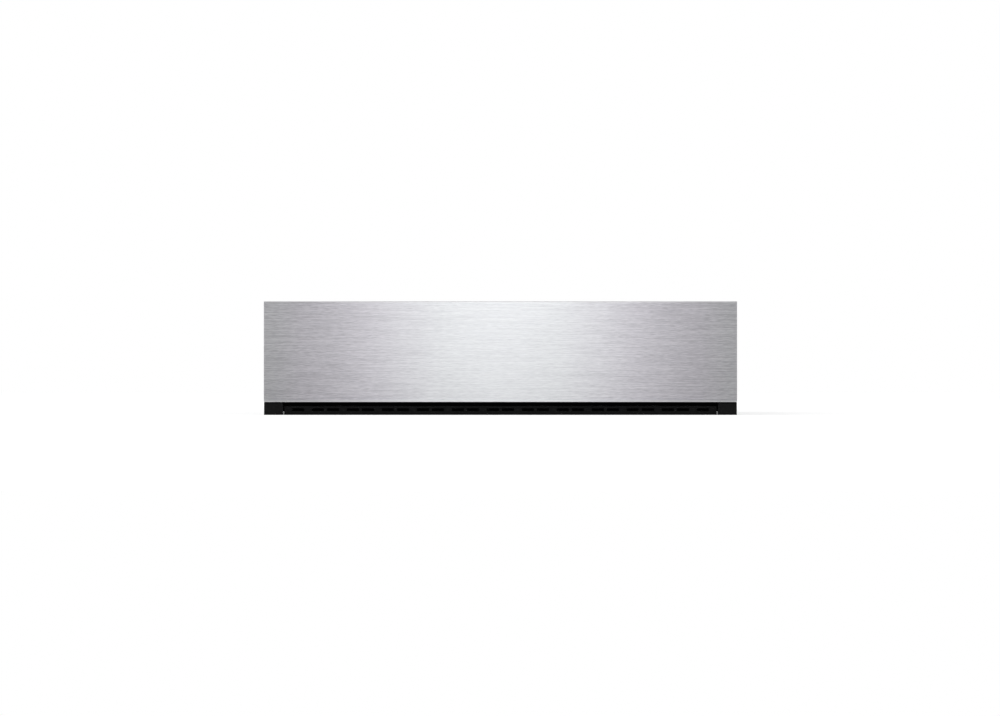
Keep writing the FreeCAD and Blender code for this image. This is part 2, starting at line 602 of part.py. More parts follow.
def place_along(made, along, low, centre):
    """Puts a round thing with its axis along x, y or z, its near end at low."""
    made.Placement = Placement(Vector(), TURNED[along])
    across = [at for at in "xyz" if at != along]
    tie(made, f"Placement.Base.{along}", low)
    for at, where in zip(across, centre):
        tie(made, f"Placement.Base.{at}", where)


def rod(label, along, radius, ends, centre):
    """A round bar along x, y or z; centre gives the other two coordinates in order."""
    made = doc.addObject("Part::Cylinder", label)
    tie(made, "Radius", radius)
    tie(made, "Height", f"({ends[1]}) - ({ends[0]})")
    place_along(made, along, ends[0], centre)
    return made


def cone(label, along, radii, ends, centre):
    """A cone frustum along x, y or z, with its radius at the low and the high end."""
    made = doc.addObject("Part::Cone", label)
    tie(made, "Radius1", radii[0])
    tie(made, "Radius2", radii[1])
    tie(made, "Height", f"({ends[1]}) - ({ends[0]})")
    place_along(made, along, ends[0], centre)
    return made


def ball(label, radius, centre):
    made = doc.addObject("Part::Sphere", label)
    tie(made, "Radius", radius)
    for at, where in zip("xyz", centre):
        tie(made, f"Placement.Base.{at}", where)
    return made


def join(label, *pieces):
    made = doc.addObject("Part::MultiFuse", label)
    made.Shapes = list(pieces)
    made.Refine = True
    return made


def carve(label, base, *tools):
    made = doc.addObject("Part::Cut", label)
    made.Base = base
    made.Tool = tools[0] if len(tools) == 1 else join(label + "_tools", *tools)
    made.Refine = True
    return made


def group(label, *pieces):
    """Several separate solids that make one node."""
    made = doc.addObject("Part::Compound", label)
    made.Links = list(pieces)
    return made


def softened(label, base, radius, chosen):
    """Rounds the edges of a Part object that chosen picks by their middle and box."""
    doc.recompute()
    size = number(radius)
    made = doc.addObject("Part::Fillet", label)
    made.Base = base
    made.Edges = [
        (index, size, size)
        for index, edge in enumerate(base.Shape.Edges, start=1)
        if chosen(edge.BoundBox)
    ]
    return made


# Bodies with sketches


def body(label):
    return doc.addObject("PartDesign::Body", label)


def sketch(owner, plane, level="0"):
    """A sketch on XY, XZ or YZ of its body, moved to the level on the third axis."""
    made = owner.newObject("Sketcher::SketchObject", owner.Label + "_sketch")
    role = plane + "_Plane"
    found = [part for part in owner.Origin.OriginFeatures if part.Role == role]
    made.AttachmentSupport = [(found[0], "")]
    made.MapMode = "FlatFace"
    sign = "-" if plane == "XZ" else ""
    tie(made, "AttachmentOffset.Base.z", f"{sign}({level})")
    return made


def dimension(made, kind, geometry, end, text):
    """Holds one end of a line, or a circle's middle, at a distance from the origin."""
    at = number(text)
    index = made.addConstraint(Sketcher.Constraint(kind, -1, 1, geometry, end, at))
    tie(made, f"Constraints[{index}]", text)


def outline(made, points):
    """A closed run of straight lines through points, each given as two formulas."""
    at = [Vector(number(u), number(v), 0) for u, v in points]
    first = made.GeometryCount
    count = len(points)
    for index in range(count):
        made.addGeometry(Part.LineSegment(at[index], at[(index + 1) % count]))
    for index in range(count):
        after = first + (index + 1) % count
        made.addConstraint(Sketcher.Constraint("Coincident", first + index, 2, after, 1))
    for index, (u, v) in enumerate(points):
        dimension(made, "DistanceX", first + index, 1, u)
        dimension(made, "DistanceY", first + index, 1, v)


def rectangle(made, u, v):
    low, high = u
    bottom, top = v
    outline(made, ((low, bottom), (high, bottom), (high, top), (low, top)))


def round_rectangle(made, u, v, radius):
    """A rectangle with four equal round corners, fully constrained."""
    left, right, low, high = (number(text) for text in (*u, *v))
    r = number(radius)
    first = made.GeometryCount
    sides = (
        ((left + r, low), (right - r, low)),
        ((right, low + r), (right, high - r)),
        ((right - r, high), (left + r, high)),
        ((left, high - r), (left, low + r)),
    )
    corners = (
        ((right - r, low + r), -90, 0),
        ((right - r, high - r), 0, 90),
        ((left + r, high - r), 90, 180),
        ((left + r, low + r), 180, 270),
    )
    for (start, end), (centre, begin, stop) in zip(sides, corners):
        made.addGeometry(Part.LineSegment(Vector(*start, 0), Vector(*end, 0)))
        whole = Part.Circle(Vector(*centre, 0), Vector(0, 0, 1), r)
        made.addGeometry(
            Part.ArcOfCircle(whole, math.radians(begin), math.radians(stop))
        )
    for side in range(4):
        line = first + 2 * side
        arc = line + 1
        following = first + (2 * side + 2) % 8
        made.addConstraint(Sketcher.Constraint("Tangent", line, 2, arc, 1))
        made.addConstraint(Sketcher.Constraint("Tangent", arc, 2, following, 1))
        flat = "Horizontal" if side % 2 == 0 else "Vertical"
        made.addConstraint(Sketcher.Constraint(flat, line))
        if side:
            made.addConstraint(Sketcher.Constraint("Equal", first + 1, arc))
    index = made.addConstraint(Sketcher.Constraint("Radius", first + 1, r))
    tie(made, f"Constraints[{index}]", radius)
    dimension(made, "DistanceY", first, 1, v[0])
    dimension(made, "DistanceX", first + 2, 1, u[1])
    dimension(made, "DistanceY", first + 4, 1, v[1])
    dimension(made, "DistanceX", first + 6, 1, u[0])


def circle(made, centre, radius):
    at = Vector(number(centre[0]), number(centre[1]), 0)
    index = made.addGeometry(Part.Circle(at, Vector(0, 0, 1), number(radius)))
    dimension(made, "DistanceX", index, 3, centre[0])
    dimension(made, "DistanceY", index, 3, centre[1])
    held = made.addConstraint(Sketcher.Constraint("Radius", index, number(radius)))
    tie(made, f"Constraints[{held}]", radius)


def feature(owner, kind, profile, length, flip=False):
    """A Pad or a Pocket of the sketch; flip sends it the other way."""
    made = owner.newObject("PartDesign::" + kind, owner.Label + "_" + kind.lower())
    made.Profile = profile
    tie(made, "Length", length)
    made.Reversed = flip
    profile.Visibility = False
    return made


def rounded(owner, base, radius, chosen, kind="Fillet"):
    """A Fillet or Chamfer of the edges of a feature that chosen picks by their box."""
    doc.recompute()
    names = [
        f"Edge{index}"
        for index, edge in enumerate(base.Shape.Edges, start=1)
        if chosen(edge.BoundBox)
    ]
    made = owner.newObject("PartDesign::" + kind, owner.Label + "_" + kind.lower())
    made.Base = (base, names)
    tie(made, "Radius" if kind == "Fillet" else "Size", radius)
    owner.Tip = made
    return made


def flat_at(axis, text, near=0.01):
    """Picks edges that lie wholly in the plane where that coordinate has that value."""
    at = number(text)
    low, high = axis + "Min", axis + "Max"
    return lambda b: abs(getattr(b, low) - at) < near and abs(getattr(b, high) - at) < near


# The nodes that are written, by name
nodes = {}


def node(name, thing):
    """Names an object as one node of the finished drawer."""
    thing.Label = name
    nodes[name] = thing
    return thing


def mirror_pair(side, inner, outer):
    """(low, high) along X of a stretch on the right (1) or the left (-1)."""
    return (inner, outer) if side > 0 else (f"-({outer})", f"-({inner})")


SIDES = ((-1, "left"), (1, "right"))


def spaced(low, high, count, index):
    """The formula of one of count places spread evenly from low to high."""
    return f"({low}) + ({index}) * (({high}) - ({low})) / {count - 1}"


# Casing: floor, sides, rear, top cover, tie rail and feet


def rivet_places():
    """Where the sides are riveted to the floor: X and Y of each rivet."""
    return [
        (f"{side} * (casing_in - casing_flange / 2)", spaced(
            "shell_front + rivet_front", "rear_inner - rivet_rear", RIVETS, index
        ))
        for side, _ in SIDES
        for index in range(RIVETS)
    ]


def foot_places():
    return [
        (f"{side} * (casing_half - foot_side)", y)
        for side, _ in SIDES
        for y in ("shell_front + foot_end", "casing_back - foot_end")
    ]


def rivet_holes(label, z):
    radius = "rivet_radius + fastener_play"
    return [rod(label, "z", radius, z, place) for place in rivet_places()]


def casing_floor():
    """Sheet floor with rows of air slots between the feet."""
    made = body("floor_blank")
    base = sketch(made, "XY", "foot_height")
    rectangle(base, ("-casing_half", "casing_half"), ("shell_front", "casing_back"))
    feature(made, "Pad", base, "casing_sheet")
    slots = sketch(made, "XY", "foot_height")
    start = "-casing_half + floor_slot_side"
    for row in range(FLOOR_SLOT_ROWS):
        y = f"shell_front + floor_slot_front + {row} * floor_slot_row"
        v = (y, f"{y} + floor_slot_width")
        round_rectangle(slots, (start, f"{start} + floor_slot_length"), v,
                        "0.48 * floor_slot_width")
    cut = feature(made, "Pocket", slots, "casing_sheet", flip=True)
    row = made.newObject("PartDesign::LinearPattern", "floor_slot_rows")
    row.Originals = [cut]
    row.Direction = (slots, ["H_Axis"])
    tie(row, "Length", "casing_width - 2 * floor_slot_side - floor_slot_length")
    row.Occurrences = FLOOR_SLOTS
    made.Tip = row
    holes = rivet_holes("floor_rivet_hole", ("foot_height - past", "floor_top + past"))
    node("casing_floor", carve("floor", made, *holes))


def niche_holes(side, radius, y):
    """Round holes through the trims and flanges for the cabinet screws."""
    return [
        rod("niche_hole", "y", radius, y, (f"{side} * niche_x", z))
        for z in ("niche_low", "niche_high")
    ]


def casing_side(side, word):
    """A side wall folded from sheet: front flange outward, the others inward."""
    whole = ("shell_front", "casing_back")
    fold = mirror_pair(side, "casing_in - casing_flange", "casing_in")
    wall = box("wall", mirror_pair(side, "casing_in", "casing_half"), whole,
               ("floor_top", "casing_top"))
    foot = box("foot_flange", fold, ("shell_front", "rear_inner"),
               ("floor_top", "floor_top + casing_sheet"))
    head = box("head_flange", fold, whole, ("flange_under", "casing_top"))
    face = box("front_flange", mirror_pair(side, "casing_half", "panel_half - flange_inset"),
               ("shell_front", "shell_front + casing_sheet"), ("floor_top", "casing_top"))
    folded = join("side_blank", wall, foot, head, face)
    holes = [
        rod("rivet_hole", "z", "rivet_radius + fastener_play",
            ("floor_top - past", "floor_top + casing_sheet + past"), place)
        for place in rivet_places() if place[0].startswith(str(side))
    ]
    y = ("shell_front - past", "shell_front + casing_sheet + past")
    holes += niche_holes(side, "niche_hole", y)
    node(f"casing_side_{word}", carve("side", folded, *holes))


def casing_rear():
    """Rear wall with the fan's air slots and the cut-out for the mains inlet."""
    wall = box("rear_wall", ("-casing_in", "casing_in"), ("rear_inner", "rear_outer"),
               ("floor_top", "cover_under"))
    fold = box("rear_fold_sheet", ("-casing_in", "casing_in"),
               ("rear_inner - rear_fold", "rear_inner"),
               ("cover_under - casing_sheet", "cover_under"))
    sheet = join("rear_sheet", wall, fold)
    y = ("rear_inner - past", "rear_outer + past")
    tools = []
    for index in range(REAR_SLOTS):
        level = f"fan_level + ({index - (REAR_SLOTS - 1) / 2}) * rear_slot_pitch"
        z = (f"{level} - rear_slot_height / 2", f"{level} + rear_slot_height / 2")
        for way in (-1, 1):
            near = f"fan_x + {way} * rear_slot_split / 2"
            far = f"{near} + {way} * rear_slot_length"
            tools.append(box("rear_slot", (near, far)[::way], y, z))
    tools.append(box("inlet_hole",
                     ("inlet_x - inlet_width / 2", "inlet_x + inlet_width / 2"), y,
                     ("inlet_level - inlet_height / 2", "inlet_level + inlet_height / 2")))
    node("casing_rear", carve("rear", sheet, *tools))


def casing_top():
    """Cover over the rear of the casing, and the tie rail over its mouth."""
    z = ("cover_under", "flange_under")
    across = ("-casing_in", "casing_in")
    node("casing_top_cover", box("cover", across, ("hinge_y + cover_clearance",
                                                  "casing_back"), z))
    plate = box("rail_plate", across, ("shell_front", "shell_front + rail_width"), z)
    lip = box("rail_fold", across, ("shell_front", "shell_front + casing_sheet"),
              ("cover_under - rail_lip", "cover_under"))
    node("casing_front_rail", join("rail", plate, lip))


def casing_feet():
    pads = [
        rod("pad", "z", "foot_radius", ("0", "foot_height"), place)
        for place in foot_places()
    ]
    node("feet", group("pads", *pads))


def casing_rivets():
    """Blind rivets: a shank through both sheets and a low head on top."""
    top = "floor_top + casing_sheet"
    rivets = []
    for place in rivet_places():
        shank = rod("shank", "z", "rivet_radius", ("foot_height", top), place)
        head = cone("head", "z", ("rivet_head", "rivet_radius"),
                    (top, f"{top} + rivet_dome"), place)
        rivets.append(join("rivet", shank, head))
    node("casing_rivets", group("rivets", *rivets))


# What shows below the panel: vent strip and side trims


def vent_strip():
    """Black strip with a ledge and posts behind it, pierced by pairs of air slots."""
    made = body("strip_blank")
    profile = sketch(made, "YZ")
    outline(profile, (
        ("strip_front", "0"),
        ("strip_front + strip_wall", "0"),
        ("strip_front + strip_wall", "strip_height - strip_wall"),
        ("strip_back", "strip_height - strip_wall"),
        ("strip_back", "strip_height"),
        ("strip_front", "strip_height"),
    ))
    bar = feature(made, "Pad", profile, "2 * strip_half")
    bar.Midplane = True
    top_front = flat_at("Z", "strip_height")
    face = flat_at("Y", "strip_front")
    edge = rounded(made, bar, "strip_round", lambda b: top_front(b) and face(b))
    first = f"-({SLOT_PAIRS - 1} * slot_pitch + 2 * slot_width + slot_gap) / 2"
    z = ("slot_base", "slot_base + slot_height")
    pair = sketch(made, "XZ", "strip_front - past")
    rectangle(pair, (first, f"{first} + slot_width"), z)
    rectangle(pair, (f"{first} + slot_width + slot_gap",
                     f"{first} + 2 * slot_width + slot_gap"), z)
    cut = feature(made, "Pocket", pair, "strip_wall + 2 * past")
    pairs = made.newObject("PartDesign::LinearPattern", "slot_pairs")
    pairs.Originals = [cut]
    pairs.Direction = (pair, ["H_Axis"])
    tie(pairs, "Length", f"{SLOT_PAIRS - 1} * slot_pitch")
    pairs.Occurrences = SLOT_PAIRS
    made.Tip = pairs
    ends = sketch(made, "XZ", "strip_front - past")
    beyond = f"-({first}) - slot_width - slot_gap - slot_width + slot_pitch"
    rectangle(ends, (beyond, f"{beyond} + slot_width"), z)
    rectangle(ends, (f"-({beyond}) - slot_width", f"-({beyond})"), z)
    feature(made, "Pocket", ends, "strip_wall + 2 * past")
    reach = "strip_half - strip_post_end"
    posts = [
        box("strip_post_block", (f"{x} - strip_post / 2", f"{x} + strip_post / 2"),
            ("shell_front + strip_post_gap", "strip_back"),
            ("floor_top", "strip_height - strip_wall"))
        for x in (spaced(f"-({reach})", reach, STRIP_POSTS, index)
                  for index in range(STRIP_POSTS))
    ]
    node("vent_strip", join("strip", made, *posts))


def side_trim(side, word):
    """Black trim on the cabinet's front edge, with the block that shows at its foot."""
    plate = box("trim_plate", mirror_pair(side, "casing_in + trim_play", "panel_half"),
                ("casing_front", "shell_front"), ("0", "casing_top"))
    block = box("trim_block", mirror_pair(side, "trim_in", "panel_half"),
                ("block_front", "shell_front"), ("0", "block_height"))
    whole = join("trim_blank", plate, block)
    doc.recompute()
    front = flat_at("Y", "block_front")
    soft = softened("trim_soft", whole, "block_round", front)
    y = ("casing_front - past", "shell_front + past")
    holes = niche_holes(side, "niche_hole", y)
    sinks = [
        cone("sink", "y", ("niche_sink", "niche_hole"),
             ("casing_front", "casing_front + niche_sink - niche_hole"),
             (f"{side} * niche_x", z))
        for z in ("niche_low", "niche_high")
    ]
    node(f"side_trim_{word}", carve("trim", soft, *holes, *sinks))


# Telescopic runners: three nested channels and two rows of balls on each side


def channel(label, side, web, reach, half):
    """A C channel along Y: its web and its two flanges, from formulas of X."""
    sheet = "runner_sheet"
    y = ("runner_front", "runner_back")
    low, high = f"runner_level - ({half})", f"runner_level + ({half})"
    return join(
        label,
        box("web", mirror_pair(side, *web), y, (low, high)),
        box("low_flange", mirror_pair(side, *reach), y, (low, f"{low} + {sheet}")),
        box("high_flange", mirror_pair(side, *reach), y, (f"{high} - {sheet}", high)),
    )


def runner(side, word):
    """Outer member on the casing, middle member, and inner member on the drawer."""
    outer_web = ("casing_in - runner_sheet", "casing_in")
    outer_reach = ("drawer_half + runner_lip", "casing_in")
    middle_out = "casing_in - runner_sheet - runner_play"
    middle_web = (f"{middle_out} - runner_sheet", middle_out)
    middle_reach = ("drawer_half + runner_lip", middle_out)
    inner_web = ("drawer_half", "drawer_half + runner_sheet")
    inner_reach = ("drawer_half", f"{middle_out} - runner_sheet - runner_play")
    node(f"runner_outer_{word}",
         channel("outer_member", side, outer_web, outer_reach, "outer_half"))
    node(f"runner_middle_{word}",
         channel("middle_member", side, middle_web, middle_reach, "middle_half"))
    node(f"runner_inner_{word}",
         channel("inner_member", side, inner_web, inner_reach, "inner_half"))


def ball_rows(name, half):
    """Cages and balls in the track outside the member of that half height."""
    middle = "(drawer_half + runner_lip + casing_in - runner_sheet) / 2"
    start = "runner_front + cage_front"
    strips, balls = [], []
    for side, _ in SIDES:
        x = f"{side} * {middle}"
        for up in (-1, 1):
            z = f"runner_level + {up} * ({half} + track / 2)"
            strip = box("cage", (f"{x} - cage_width / 2", f"{x} + cage_width / 2"),
                        (start, f"{start} + cage_length"),
                        (f"{z} - cage_thickness / 2", f"{z} + cage_thickness / 2"))
            seats = []
            for index in range(BALLS):
                y = f"{start} + ball_pitch * ({index} + 0.5)"
                balls.append(ball("ball", "ball_radius", (x, y, z)))
                seats.append(rod("seat", "z", "ball_radius + 2 * ball_play",
                                 (f"{z} - cage_thickness", f"{z} + cage_thickness"),
                                 (x, y)))
            strips.append(carve("cage_strip", strip, *seats))
    node(f"ball_cages_{name}", group("cages", *strips, *balls))


# Push latch and mains inlet, both on the rear wall


def push_latch():
    """Housing with a spring plunger that drives the drawer out when it is pushed."""
    z = ("latch_level - latch_height / 2", "latch_level + latch_height / 2")
    case = box("latch_case", ("-latch_width / 2", "latch_width / 2"),
               ("rear_inner - latch_length", "rear_inner"), z)
    bore = rod("latch_bore", "y", "plunger_radius + plunger_play",
               ("rear_inner - latch_length - past", "rear_inner - latch_wall"),
               ("0", "latch_level"))
    node("latch_housing", carve("latch", case, bore))
    stem = rod("stem", "y", "plunger_radius",
               ("plunger_tip + plunger_point", "plunger_tip + plunger_length"),
               ("0", "latch_level"))
    tip = cone("tip", "y", ("plunger_radius - plunger_taper", "plunger_radius"),
               ("plunger_tip", "plunger_tip + plunger_point"), ("0", "latch_level"))
    node("latch_plunger", join("plunger", stem, tip))


def mains_inlet():
    """Appliance inlet: flange outside the rear wall, body inside, three pins."""

    def block(label, wider, taller, y):
        wide, tall = f"(inlet_width / 2 + {wider})", f"(inlet_height / 2 + {taller})"
        return box(label, (f"inlet_x - {wide}", f"inlet_x + {wide}"), y,
                   (f"inlet_level - {tall}", f"inlet_level + {tall}"))

    face, back = "rear_outer + inlet_flange", "rear_outer - inlet_depth"
    shell = block("inlet_body", "-inlet_play", "-inlet_play", (back, face))
    flange = block("inlet_plate", "inlet_rim", "inlet_rim / 2", ("rear_outer", face))
    socket = block("inlet_socket", "-inlet_wall", "-inlet_wall",
                   (f"{back} + inlet_back", f"{face} + past"))
    case = carve("inlet_case", join("inlet_blank", shell, flange), socket)
    pins = []
    for across, up in ((-1, -1), (1, -1), (0, 1)):
        x = f"inlet_x + {across} * pin_spread"
        z = f"inlet_level + {up} * pin_rise"
        pins.append(box("inlet_pin", (f"{x} - pin_thickness / 2", f"{x} + pin_thickness / 2"),
                        (f"{back} + inlet_back", f"{face} - inlet_sink"),
                        (f"{z} - pin_height / 2", f"{z} + pin_height / 2")))
    node("mains_inlet", join("inlet", case, *pins))


# Front panel and the board inside it


def panel_screw_places():
    """Where the drawer's front wall is screwed to the panel: X and Z."""
    return [
        (f"{side} * (panel_half - panel_screw_side)", z)
        for side in (-1, 0, 1)
        for z in ("drawer_floor + panel_screw_low", "deck_under - panel_screw_high")
    ]


def front_panel():
    """Stainless pan, folded back along its four sides and open at the back."""
    made = body("panel_blank")
    face = sketch(made, "XZ", "front")
    sides = ("-panel_half", "panel_half")
    rectangle(face, sides, ("plinth_height", "panel_top"))
    slab = feature(made, "Pad", face, "panel_depth", flip=True)
    edge = rounded(made, slab, "panel_round", flat_at("Y", "front"))
    hollow = sketch(made, "XZ", "front + panel_sheet")
    rectangle(hollow, ("-panel_half + panel_sheet", "panel_half - panel_sheet"),
              ("plinth_height + panel_sheet", "panel_top - panel_sheet"))
    feature(made, "Pocket", hollow, "panel_depth")
    node("front_panel", made)


def panel_core():
    """Stiff board that fills the panel behind its face."""
    inset = "panel_sheet + core_play"
    board = box("core_board", (f"-panel_half + {inset}", f"panel_half - ({inset})"),
                (f"front + {inset}", "panel_back"),
                (f"plinth_height + {inset}", f"panel_top - ({inset})"))
    holes = [
        rod("core_hole", "y", "screw_radius + fastener_play",
            ("panel_back - screw_reach - past", "panel_back + past"), place)
        for place in panel_screw_places()
    ]
    node("panel_core", carve("core", board, *holes))


# Drawer: pan, sides and deck


def drawer_pan():
    """Floor, front wall and rear wall of the drawer, folded from one sheet."""
    x = ("-drawer_in", "drawer_in")
    base = box("pan_floor", x, ("panel_back", "drawer_back"), ("drawer_base", "drawer_floor"))
    face = box("pan_front", x, ("panel_back", "panel_back + drawer_sheet"),
               ("drawer_base", "deck_under"))
    back = box("pan_back", x, ("drawer_wall", "drawer_back"), ("drawer_base", "deck_under"))
    tools = [
        rod("pan_screw_hole", "y", "screw_radius + fastener_play",
            ("panel_back - past", "panel_back + drawer_sheet + past"), place)
        for place in panel_screw_places()
    ]
    tools.append(rod("fan_hole", "y", "fan_bore",
                     ("drawer_wall - past", "drawer_back + past"), ("fan_x", "fan_level")))
    node("drawer_pan", carve("pan", join("pan_blank", base, face, back), *tools))


def deck_screw_places():
    """Where the deck is screwed to the drawer's side flanges: X and Y."""
    return [
        (f"{side} * (drawer_in - drawer_flange / 2)",
         spaced("panel_back + deck_screw_front", "drawer_wall - deck_screw_rear",
                DECK_SCREWS, index))
        for side, _ in SIDES
        for index in range(DECK_SCREWS)
    ]


def drawer_side(side, word):
    """Side plate with an inward flange under the deck."""
    y = ("panel_back", "drawer_back")
    wall = box("side_plate", mirror_pair(side, "drawer_in", "drawer_half"), y,
               ("drawer_base", "deck_under"))
    flange = box("side_flange", mirror_pair(side, "drawer_in - drawer_flange", "drawer_in"),
                 ("panel_back + drawer_sheet", "drawer_wall"),
                 ("deck_under - drawer_sheet", "deck_under"))
    holes = [
        rod("deck_screw_hole", "z", "screw_radius + fastener_play",
            ("deck_under - drawer_sheet - past", "deck_under + past"), place)
        for place in deck_screw_places() if place[0].startswith(str(side))
    ]
    node(f"drawer_side_{word}", carve("drawer_side", join("plate", wall, flange), *holes))


def deck():
    """Stainless top of the drawer with its cut-outs and folded side lips."""
    made = body("deck_blank")
    blank = sketch(made, "XY", "deck_under")
    rectangle(blank, ("-deck_half", "deck_half"), ("panel_back", "drawer_back"))
    feature(made, "Pad", blank, "deck_sheet")
    openings = sketch(made, "XY", "deck_under")
    round_rectangle(openings, *grown("rim_width + rim_play"))
    rectangle(openings, ("control_left - control_play", "control_right + control_play"),
              ("control_front - control_play", "control_back + control_play"))
    circle(openings, ("control_x", "port_y"), "port_body + fastener_play")
    feature(made, "Pocket", openings, "deck_sheet", flip=True)
    vents = sketch(made, "XY", "deck_under")
    start = "control_left + deck_vent_side"
    round_rectangle(vents, (start, f"{start} + deck_vent_width"),
                    ("fan_front - deck_vent_front", "drawer_wall - deck_vent_rear"),
                    "0.48 * deck_vent_width")
    vent = feature(made, "Pocket", vents, "deck_sheet", flip=True)
    vent_row = made.newObject("PartDesign::LinearPattern", "deck_vents")
    vent_row.Originals = [vent]
    vent_row.Direction = (vents, ["H_Axis"])
    tie(vent_row, "Length", "control_width - 2 * deck_vent_side - 2 * deck_vent_width")
    vent_row.Occurrences = DECK_VENTS
    made.Tip = vent_row
    lips = [
        box("deck_lip", mirror_pair(side, "deck_half - deck_sheet", "deck_half"),
            ("panel_back", "drawer_back"), ("deck_under - deck_lip", "deck_under"))
        for side, _ in SIDES
    ]
    holes = [
        rod("deck_hole", "z", "screw_radius + fastener_play",
            ("deck_under - past", "deck_level + past"), place)
        for place in deck_screw_places()
    ]
    node("deck", carve("deck_plate", join("deck_folded", made, *lips), *holes))


def drawer_screws():
    """Screws from inside through the front wall, and down through the deck."""
    wall = "panel_back + drawer_sheet"
    made = []
    for place in panel_screw_places():
        shank = rod("panel_screw_shank", "y", "screw_radius",
                    ("panel_back - screw_reach", wall), place)
        head = rod("panel_screw_head", "y", "screw_head",
                   (wall, f"{wall} + screw_height"), place)
        made.append(join("panel_screw", shank, head))
    for place in deck_screw_places():
        shank = rod("deck_screw_shank", "z", "screw_radius",
                    ("deck_under - deck_screw_reach", "deck_level"), place)
        head = cone("deck_screw_head", "z", ("screw_head", "screw_head - screw_taper"),
                    ("deck_level", "deck_level + screw_height"), place)
        made.append(join("deck_screw", shank, head))
    node("drawer_screws", group("drawer_screw_set", *made))


# Vacuum chamber: tub, rim, seal, outlet


def grown(amount):
    """X and Y of the chamber's outline, moved outward by a formula."""
    return (
        (f"chamber_left - ({amount})", f"chamber_right + ({amount})"),
        (f"chamber_front - ({amount})", f"chamber_back + ({amount})"),
        f"chamber_radius + {amount}",
    )


def rounded_block(label, spread, low, high, bend):
    """A block on the chamber's outline with its bottom edge rounded."""
    made = body(label)
    base = sketch(made, "XY", low)
    round_rectangle(base, *grown(spread))
    block = feature(made, "Pad", base, f"({high}) - ({low})")
    rounded(made, block, bend, flat_at("Z", low))
    return made


def vacuum_chamber():
    """Deep-drawn stainless tub with a hole in its back wall for the outlet."""
    outside = rounded_block("tub_outside", "chamber_sheet", "tub_under", "rim_under",
                            "chamber_bend + chamber_sheet")
    inside = rounded_block("tub_inside", "0", "chamber_floor", "rim_top", "chamber_bend")
    hole = rod("outlet_hole", "y", "spigot_radius + neck_wall + fastener_play",
               ("chamber_back - past", "tub_back + past"), ("outlet_x", "outlet_level"))
    node("vacuum_chamber", carve("tub", outside, inside, hole))


def chamber_rim():
    """Flat stainless ring with a groove for the seal."""
    made = body("rim")
    ring = sketch(made, "XY", "rim_under")
    round_rectangle(ring, *grown("rim_width"))
    round_rectangle(ring, *grown("0"))
    plate = feature(made, "Pad", ring, "rim_thickness")
    top = flat_at("Z", "rim_top")
    edge = number("chamber_left - rim_width / 2")
    far = number("chamber_right + rim_width / 2")
    front = number("chamber_front - rim_width / 2")
    back = number("chamber_back + rim_width / 2")

    def outer(b):
        return top(b) and (b.XMin < edge or b.XMax > far or b.YMin < front or b.YMax > back)

    rounded(made, plate, "rim_round", outer)
    groove = sketch(made, "XY", "rim_top")
    round_rectangle(groove, *grown("seal_inset - groove_play"))
    round_rectangle(groove, *grown("seal_inset + seal_width + groove_play"))
    feature(made, "Pocket", groove, "groove_depth")
    node("chamber_rim", made)


def lid_seal():
    """Silicone ring with a rounded top, seated in the groove of the rim."""
    made = body("seal")
    ring = sketch(made, "XY", "groove_floor")
    round_rectangle(ring, *grown("seal_inset"))
    round_rectangle(ring, *grown("seal_inset + seal_width"))
    bead = feature(made, "Pad", ring, "seal_height")
    rounded(made, bead, "seal_round", flat_at("Z", "seal_top"))
    node("lid_seal", made)


def chamber_supports():
    """Two hat rails that carry the chamber on the drawer's floor."""
    rails = []
    half = "support_width / 2"
    for x in ("chamber_x - lifter_spread", "chamber_x + lifter_spread"):
        y = ("chamber_front + support_end", "chamber_back - support_end")
        slab = box("support", (f"{x} - {half}", f"{x} + {half}"), y,
                   ("drawer_floor", "tub_under"))
        hollow = box("support_hollow", (f"{x} - {half} + support_sheet",
                                        f"{x} + {half} - support_sheet"),
                     (f"{y[0]} - past", f"{y[1]} + past"),
                     ("drawer_floor - past", "tub_under - support_sheet"))
        rails.append(carve("support_rail", slab, hollow))
    node("chamber_supports", group("supports", *rails))


def chamber_outlet():
    """Strainer in the chamber, a neck through its wall and a hose spigot behind it."""
    at = ("outlet_x", "outlet_level")
    face = "chamber_back - filter_height"
    cup = rod("strainer_cup", "y", "filter_radius", (face, "chamber_back"), at)
    neck = rod("outlet_neck", "y", "spigot_radius + neck_wall",
               ("chamber_back", "tub_back"), at)
    nut_end = "tub_back + nut_height"
    nut = rod("outlet_nut", "y", "nut_radius", ("tub_back", nut_end), at)
    end = f"{nut_end} + stub_length"
    spigot = rod("outlet_spigot", "y", "spigot_radius", (nut_end, end), at)
    tools = [
        rod("strainer_hollow", "y", "filter_radius - filter_rim",
            (f"{face} + filter_wall", "chamber_back - filter_wall"), at),
        rod("outlet_inside", "y", "spigot_radius - spigot_wall",
            ("chamber_back - filter_wall - past", f"{end} + past"), at),
    ]
    for ring in range(1, STRAINER_RINGS + 1):
        for index in range(6 * ring):
            turn = math.pi * index / (3 * ring)
            place = (f"outlet_x + {ring * math.cos(turn):.6f} * filter_pitch",
                     f"outlet_level + {ring * math.sin(turn):.6f} * filter_pitch")
            tools.append(rod("strainer_hole", "y", "filter_hole",
                             (f"{face} - past", f"{face} + filter_wall + past / 2"), place))
    node("chamber_outlet", carve("outlet", join("outlet_blank", cup, neck, nut, spigot),
                                 *tools))


# Sealing bar, its heater and its lifters


